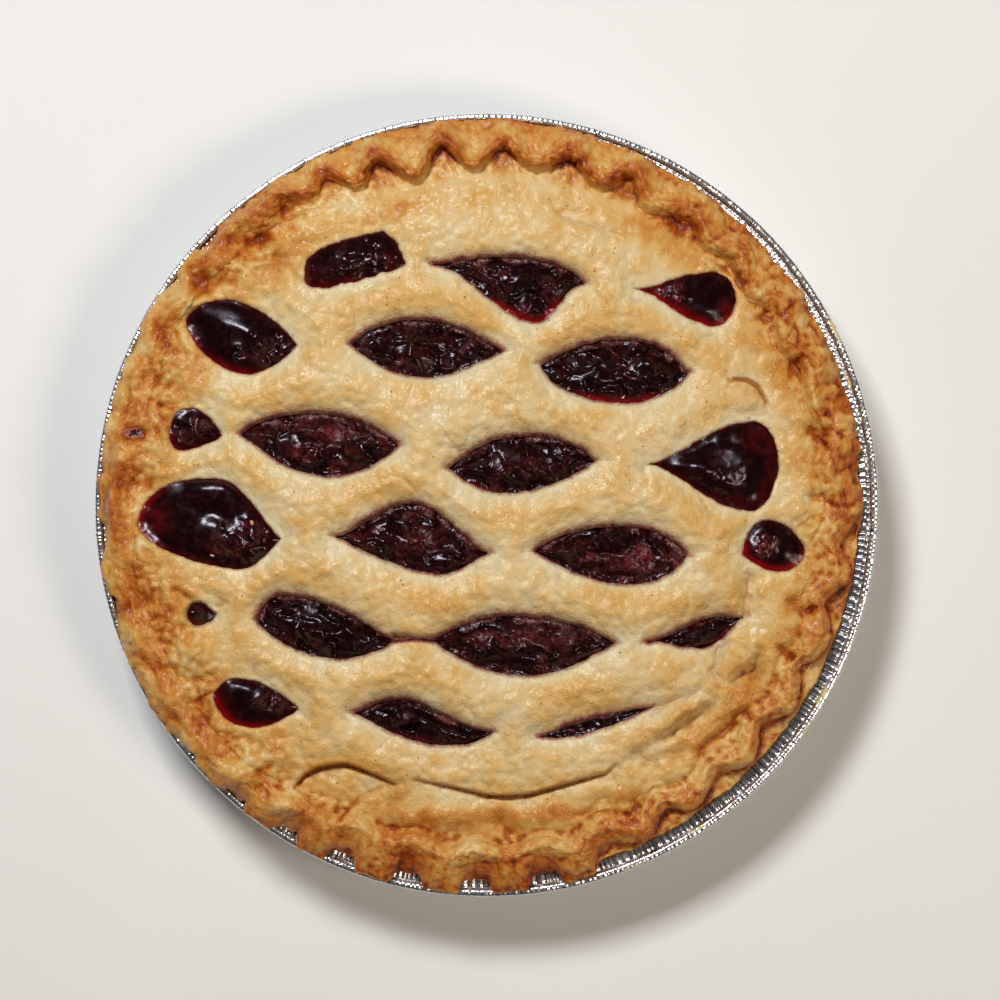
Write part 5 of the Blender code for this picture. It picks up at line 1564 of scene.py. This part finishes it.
def dough_material():
    m = Nodes("baked_dough")
    bake, crevice_shade_and_browning = m.attr("bake"), m.attr("crevice_shade_and_browning")
    juice, shine = m.attr("juice"), m.attr("shine")
    n3 = m.noise(3.2, 4.0, 0.6, 0.6)
    n1 = m.noise(1.1, 3.0, 0.6, 0.4)
    n05 = m.noise(0.55, 2.0, 0.5)
    tone = m.add(bake, m.scale(n3, 0.17, -0.085), m.scale(n1, 0.12, -0.06), m.scale(n05, 0.06, -0.03),
                 m.scale(crevice_shade_and_browning, 0.14))
    colour = m.ramp(tone, (
        (0.00, srgb(223, 209, 174)),
        (0.14, srgb(219, 200, 157)),
        (0.28, srgb(220, 190, 134)),
        (0.42, srgb(214, 171, 100)),
        (0.56, srgb(205, 144, 68)),
        (0.70, srgb(187, 107, 36)),
        (0.85, srgb(150, 62, 13)),
        (1.00, srgb(104, 32, 4)),
    ))
    # dry flour-pale flecks and small toasted spots
    fleck = m.remap(m.noise(0.9, 2.0, 0.5, 0.3), 0.58, 0.74)
    fleck = m.math("MULTIPLY", fleck, m.remap(bake, 0.5, 0.3))
    colour = m.mix(m.scale(fleck, 0.40), colour, srgb(226, 206, 180))
    toast = m.remap(m.noise(2.1, 3.0, 0.6, 1.0), 0.60, 0.75)
    colour = m.mix(m.scale(toast, 0.30), colour, srgb(210, 164, 84))
    # painted shade: crevices, creases and folds are multiplied with a dark brown
    crease_shade_and_browning = m.remap(crevice_shade_and_browning, 0.15, 1.0)
    colour = m.mix(m.scale(crease_shade_and_browning, 0.66), colour, srgb(156, 82, 30), "MULTIPLY")
    # small dark-toasted grains where the dough is brown
    grain = m.remap(m.noise(0.75, 2.0, 0.6, 0.4), 0.56, 0.70)
    grain = m.math("MULTIPLY", grain, m.remap(bake, 0.36, 0.62))
    colour = m.mix(m.scale(grain, 0.40), colour, srgb(148, 72, 22))
    # pinholes, with painted shade in each
    pin = m.remap(m.voronoi(3.1), 0.10, 0.05)
    keep = m.remap(m.noise(9.0, 1.0), 0.48, 0.62)
    pin = m.math("MULTIPLY", pin, keep)
    colour = m.mix(m.scale(pin, 0.7), colour, srgb(140, 84, 36))
    wet = m.math("ADD", juice, m.math("MULTIPLY", m.scale(n05, 1.1, -0.55), m.remap(juice, 0.02, 0.25)))
    colour = m.mix(m.scale(m.remap(wet, 0.08, 0.42), 0.66), colour, srgb(186, 140, 106), "MIX")
    colour = m.mix(m.scale(m.remap(wet, 0.38, 0.66), 0.85), colour, srgb(170, 110, 98))
    colour = m.mix(m.scale(m.remap(wet, 0.70, 1.0), 0.9), colour, srgb(132, 64, 62))
    colour = m.mix(m.remap(wet, 1.30, 1.50), colour, srgb(56, 16, 18))
    m.set("Base Color", colour)
    rough = m.add(m.scale(shine, -0.22, 0.47), m.scale(n1, 0.26, -0.13))
    m.set("Roughness", m.math("MAXIMUM", rough, 0.22))
    m.shader.inputs["Specular IOR Level"].default_value = 0.37
    m.shader.inputs["IOR"].default_value = 1.45
    pimple = m.math("MULTIPLY", m.remap(m.voronoi(1.25), 0.42, 0.05), m.remap(m.noise(5.0, 2.0), 0.45, 0.62))
    grit = m.math("MULTIPLY", m.remap(m.voronoi(0.75), 0.42, 0.05), m.remap(m.noise(3.4, 2.0), 0.42, 0.60))
    h = m.add(m.scale(m.noise(2.0, 2.0, 0.45, 0.0), 0.60), m.scale(m.noise(0.8, 2.0, 0.5), 0.26),
              m.math("MULTIPLY", m.add(m.scale(pimple, 0.40), m.scale(grit, 0.30)), m.remap(bake, 0.34, 0.56, 0.40, 1.0)),
              m.scale(pin, -0.9))
    m.set("Normal", m.bump(h, 0.80, 0.68))
    m.shader.inputs["Subsurface Weight"].default_value = 0.22
    m.shader.inputs["Subsurface Radius"].default_value = (1.0, 0.60, 0.22)
    m.shader.inputs["Subsurface Scale"].default_value = 1.0 * MM
    return m.mat


def cherry_material():
    m = Nodes("cherry")
    thin, pulp, skin = m.attr("thin"), m.attr("pulp"), m.attr("skin")
    fringe, sheen = m.attr("fringe"), m.attr("sheen")
    n4 = m.noise(4.5, 3.0, 0.6, 0.8)
    n2 = m.noise(2.0, 4.0, 0.65, 1.0)
    n1 = m.noise(0.9, 3.0, 0.6, 0.5)
    dark = m.ramp(n2, ((0.30, (0.0030, 0.0005, 0.0008, 1)), (0.55, (0.0085, 0.0008, 0.0012, 1)),
                       (0.75, (0.028, 0.0022, 0.0032, 1))))
    meat = m.ramp(n2, ((0.30, (0.014, 0.0016, 0.0022, 1)), (0.48, (0.056, 0.0060, 0.0070, 1)),
                       (0.60, (0.135, 0.022, 0.024, 1)), (0.75, (0.30, 0.090, 0.090, 1))))
    where = m.math("MULTIPLY", skin, m.remap(n4, 0.42, 0.60, 0.05, 0.85))
    where = m.math("MAXIMUM", where, m.math("MULTIPLY", pulp, m.remap(n1, 0.30, 0.55)))
    colour = m.mix(where, dark, meat)
    # a lighter, rougher film over parts of the skins: partly dried juice, partly painted sheen
    film_and_sheen = m.math("MULTIPLY", m.remap(skin, 0.0, 0.5, 0.25, 1.0), m.remap(m.noise(4.2, 3.0, 0.6, 0.6, kind="FBM"), 0.52, 0.68))
    colour = m.mix(m.scale(film_and_sheen, 0.48), colour, (0.088, 0.026, 0.030, 1))
    flesh = m.math("MULTIPLY", m.remap(pulp, 0.72, 0.95), m.remap(n1, 0.34, 0.60))
    colour = m.mix(m.scale(flesh, 0.6), colour, (0.17, 0.020, 0.026, 1))
    fuzz = m.math("MULTIPLY", fringe, m.remap(m.noise(0.6, 3.0, 0.6, 0.4), 0.30, 0.62))
    crumb = m.ramp(n1, ((0.35, (0.10, 0.022, 0.026, 1)), (0.52, (0.24, 0.090, 0.086, 1)), (0.68, (0.50, 0.29, 0.26, 1))))
    colour = m.mix(m.remap(fuzz, 0.05, 0.75), colour, crumb)
    # thin jelly is red; on bulging fruit partly a painted back-light glow
    colour = m.mix(m.remap(thin, 0.06, 0.90), colour, (0.20, 0.0022, 0.0040, 1))
    m.set("Base Color", colour)
    calm = m.remap(skin, 0.0, 0.35, 0.05, 0.0)
    matt = m.math("MAXIMUM", m.scale(fuzz, 0.45), m.scale(m.math("MULTIPLY", pulp, m.remap(n1, 0.35, 0.6)), 0.22))
    m.set("Roughness", m.add(m.remap(n2, 0.35, 0.65, 0.10, 0.18), calm, m.scale(film_and_sheen, 0.22), matt,
                             m.scale(sheen, 0.14)))
    m.shader.inputs["IOR"].default_value = 1.42
    m.shader.inputs["Specular IOR Level"].default_value = 0.38
    m.shader.inputs["Specular Tint"].default_value = (0.93, 0.87, 1.0, 1.0)
    fine = m.add(m.scale(m.noise(1.3, 4.0, 0.6, 0.6), 1.0), m.scale(m.noise(0.55, 2.0, 0.5), 0.30))
    m.set("Normal", m.bump(m.math("MULTIPLY", fine, m.scale(skin, 0.75, 0.18)), 0.48, 0.30))
    return m.mat


def foil_material():
    m = Nodes("foil")
    grime, smear, seam = m.attr("grime"), m.attr("smear"), m.attr("seam")
    n = m.noise(2.6, 3.0, 0.6)
    n1 = m.noise(0.8, 2.0, 0.5)
    metal = m.ramp(n, ((0.3, (0.76, 0.76, 0.80, 1)), (0.7, (0.94, 0.94, 0.98, 1))))
    # painted shade: where seam is high the foil turns near black
    metal = m.mix(m.remap(seam, 0.10, 0.85), metal, (0.09, 0.085, 0.10, 1))
    dirty = m.remap(m.math("MULTIPLY", grime, m.remap(n, 0.25, 0.6, 0.35, 1.0)), 0.15, 0.6)
    egg = m.remap(m.math("MULTIPLY", smear, m.remap(n1, 0.3, 0.6, 0.3, 1.0)), 0.2, 0.6)
    colour = m.mix(dirty, metal, srgb(92, 60, 36))
    colour = m.mix(egg, colour, srgb(214, 188, 128))
    m.set("Base Color", colour)
    cover = m.math("MAXIMUM", dirty, egg)
    m.set("Metallic", m.scale(cover, -0.92, 1.0))
    m.set("Roughness", m.add(m.scale(cover, 0.24, 0.26), m.scale(n1, 0.16, -0.08)))
    h = m.add(m.noise(1.0, 2.0, 0.5, 0.4), m.scale(m.noise(4.5, 1.0, 0.5), 0.8))
    m.set("Normal", m.bump(h, 0.35, 0.22))
    return m.mat


def floor_material():
    m = Nodes("floor")
    n = m.noise(160, 2.0, 0.5)
    m.set("Base Color", m.ramp(n, ((0.3, (0.84, 0.84, 0.83, 1)), (0.7, (0.87, 0.87, 0.86, 1)))))
    m.set("Roughness", 0.8)
    m.shader.inputs["Specular IOR Level"].default_value = 0.1
    return m.mat


# ---- assembly ----------------------------------------------------------------
lid, edge, lip_z = crust_pieces()
cherry = filling_piece(lip_z)
dish = foil_piece()
crumbs = crumb_piece()
dough = dough_material()
for obj in (lid, edge):
    obj.data.materials.append(dough)
cherry.data.materials.append(cherry_material())
dish.data.materials.append(foil_material())


def crumb_material():
    m = Nodes("crumb")
    n = m.noise(0.8, 3.0, 0.6, 0.5)
    m.set("Base Color", m.ramp(n, ((0.3, srgb(226, 178, 96)), (0.7, srgb(188, 122, 48)))))
    m.set("Roughness", m.scale(n, 0.3, 0.4))
    m.set("Normal", m.bump(m.noise(0.5, 2.0, 0.5), 0.6, 0.3))
    return m.mat


crumbs.data.materials.append(crumb_material())
for obj in (lid, edge, cherry, dish, crumbs):
    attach(obj, "root")
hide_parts("crust")
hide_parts("crust")
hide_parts("filling")
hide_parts("foil_pan")

# ---- stage -------------------------------------------------------------------
floor_mesh = bpy.data.meshes.new("floor")
side, segs = 3.0, 24
fp = [((i / segs - 0.5) * 2 * side, (j / segs - 0.5) * 2 * side, float(pan_lo[2]) - 0.0002)
      for j in range(segs + 1) for i in range(segs + 1)]
ff = [(j * (segs + 1) + i, j * (segs + 1) + i + 1, (j + 1) * (segs + 1) + i + 1, (j + 1) * (segs + 1) + i)
      for j in range(segs) for i in range(segs)]
floor_mesh.from_pydata(fp, [], ff)
floor = bpy.data.objects.new("floor", floor_mesh)
bpy.context.scene.collection.objects.link(floor)
floor.data.materials.append(floor_material())

world = bpy.data.worlds.new("studio")
world.use_nodes = True
wt = world.node_tree
bg = wt.nodes["Background"]
co = wt.nodes.new("ShaderNodeTexCoord")
sep = wt.nodes.new("ShaderNodeSeparateXYZ")
wt.links.new(co.outputs["Generated"], sep.inputs[0])
sky = wt.nodes.new("ShaderNodeValToRGB")
sky.color_ramp.elements[0].position = 0.18
sky.color_ramp.elements[0].color = (0.086, 0.082, 0.075, 1)
sky.color_ramp.elements[1].position = 0.62
sky.color_ramp.elements[1].color = (0.050, 0.048, 0.044, 1)
wt.links.new(sep.outputs["Z"], sky.inputs[0])
wt.links.new(sky.outputs[0], bg.inputs["Color"])
bg.inputs["Strength"].default_value = 1.0
bpy.context.scene.world = world


def softbox(name, place, size, power, colour=(1, 1, 1)):
    light = bpy.data.lights.new(name, "AREA")
    light.shape = "RECTANGLE"
    light.size, light.size_y = size
    light.energy = power
    light.color = colour
    obj = bpy.data.objects.new(name, light)
    obj.location = place
    obj.rotation_euler = (Vector((0, 0, 0.03)) - Vector(place)).to_track_quat("-Z", "Y").to_euler()
    bpy.context.scene.collection.objects.link(obj)
    return obj


softbox("key", (-0.30, 0.62, 1.05), (0.34, 0.26), 12.0)
softbox("fill", (0.62, -0.30, 1.00), (0.34, 0.34), 4.5, (1.0, 0.86, 0.70))

view = bpy.context.scene.view_settings
view.view_transform = "Standard"
view.look = "None"
view.exposure = 0.0
view.gamma = 1.0

cam = bpy.data.cameras.new("camera")
cam.sensor_width = 36.0
cam.clip_start, cam.clip_end = 0.05, 20.0
CAM_HEIGHT = 1.0                        # above the rim plane, m
cam.lens = 36.0 * CAM_HEIGHT / 0.2915
camera = bpy.data.objects.new("camera", cam)
camera.location = (float(ORIGIN[0]) + 0.0039, float(ORIGIN[1]) + 0.0015, float(pan_lo[2]) + 0.028 + CAM_HEIGHT)
camera.rotation_euler = (0, 0, 0)
bpy.context.scene.collection.objects.link(camera)
bpy.context.scene.camera = camera
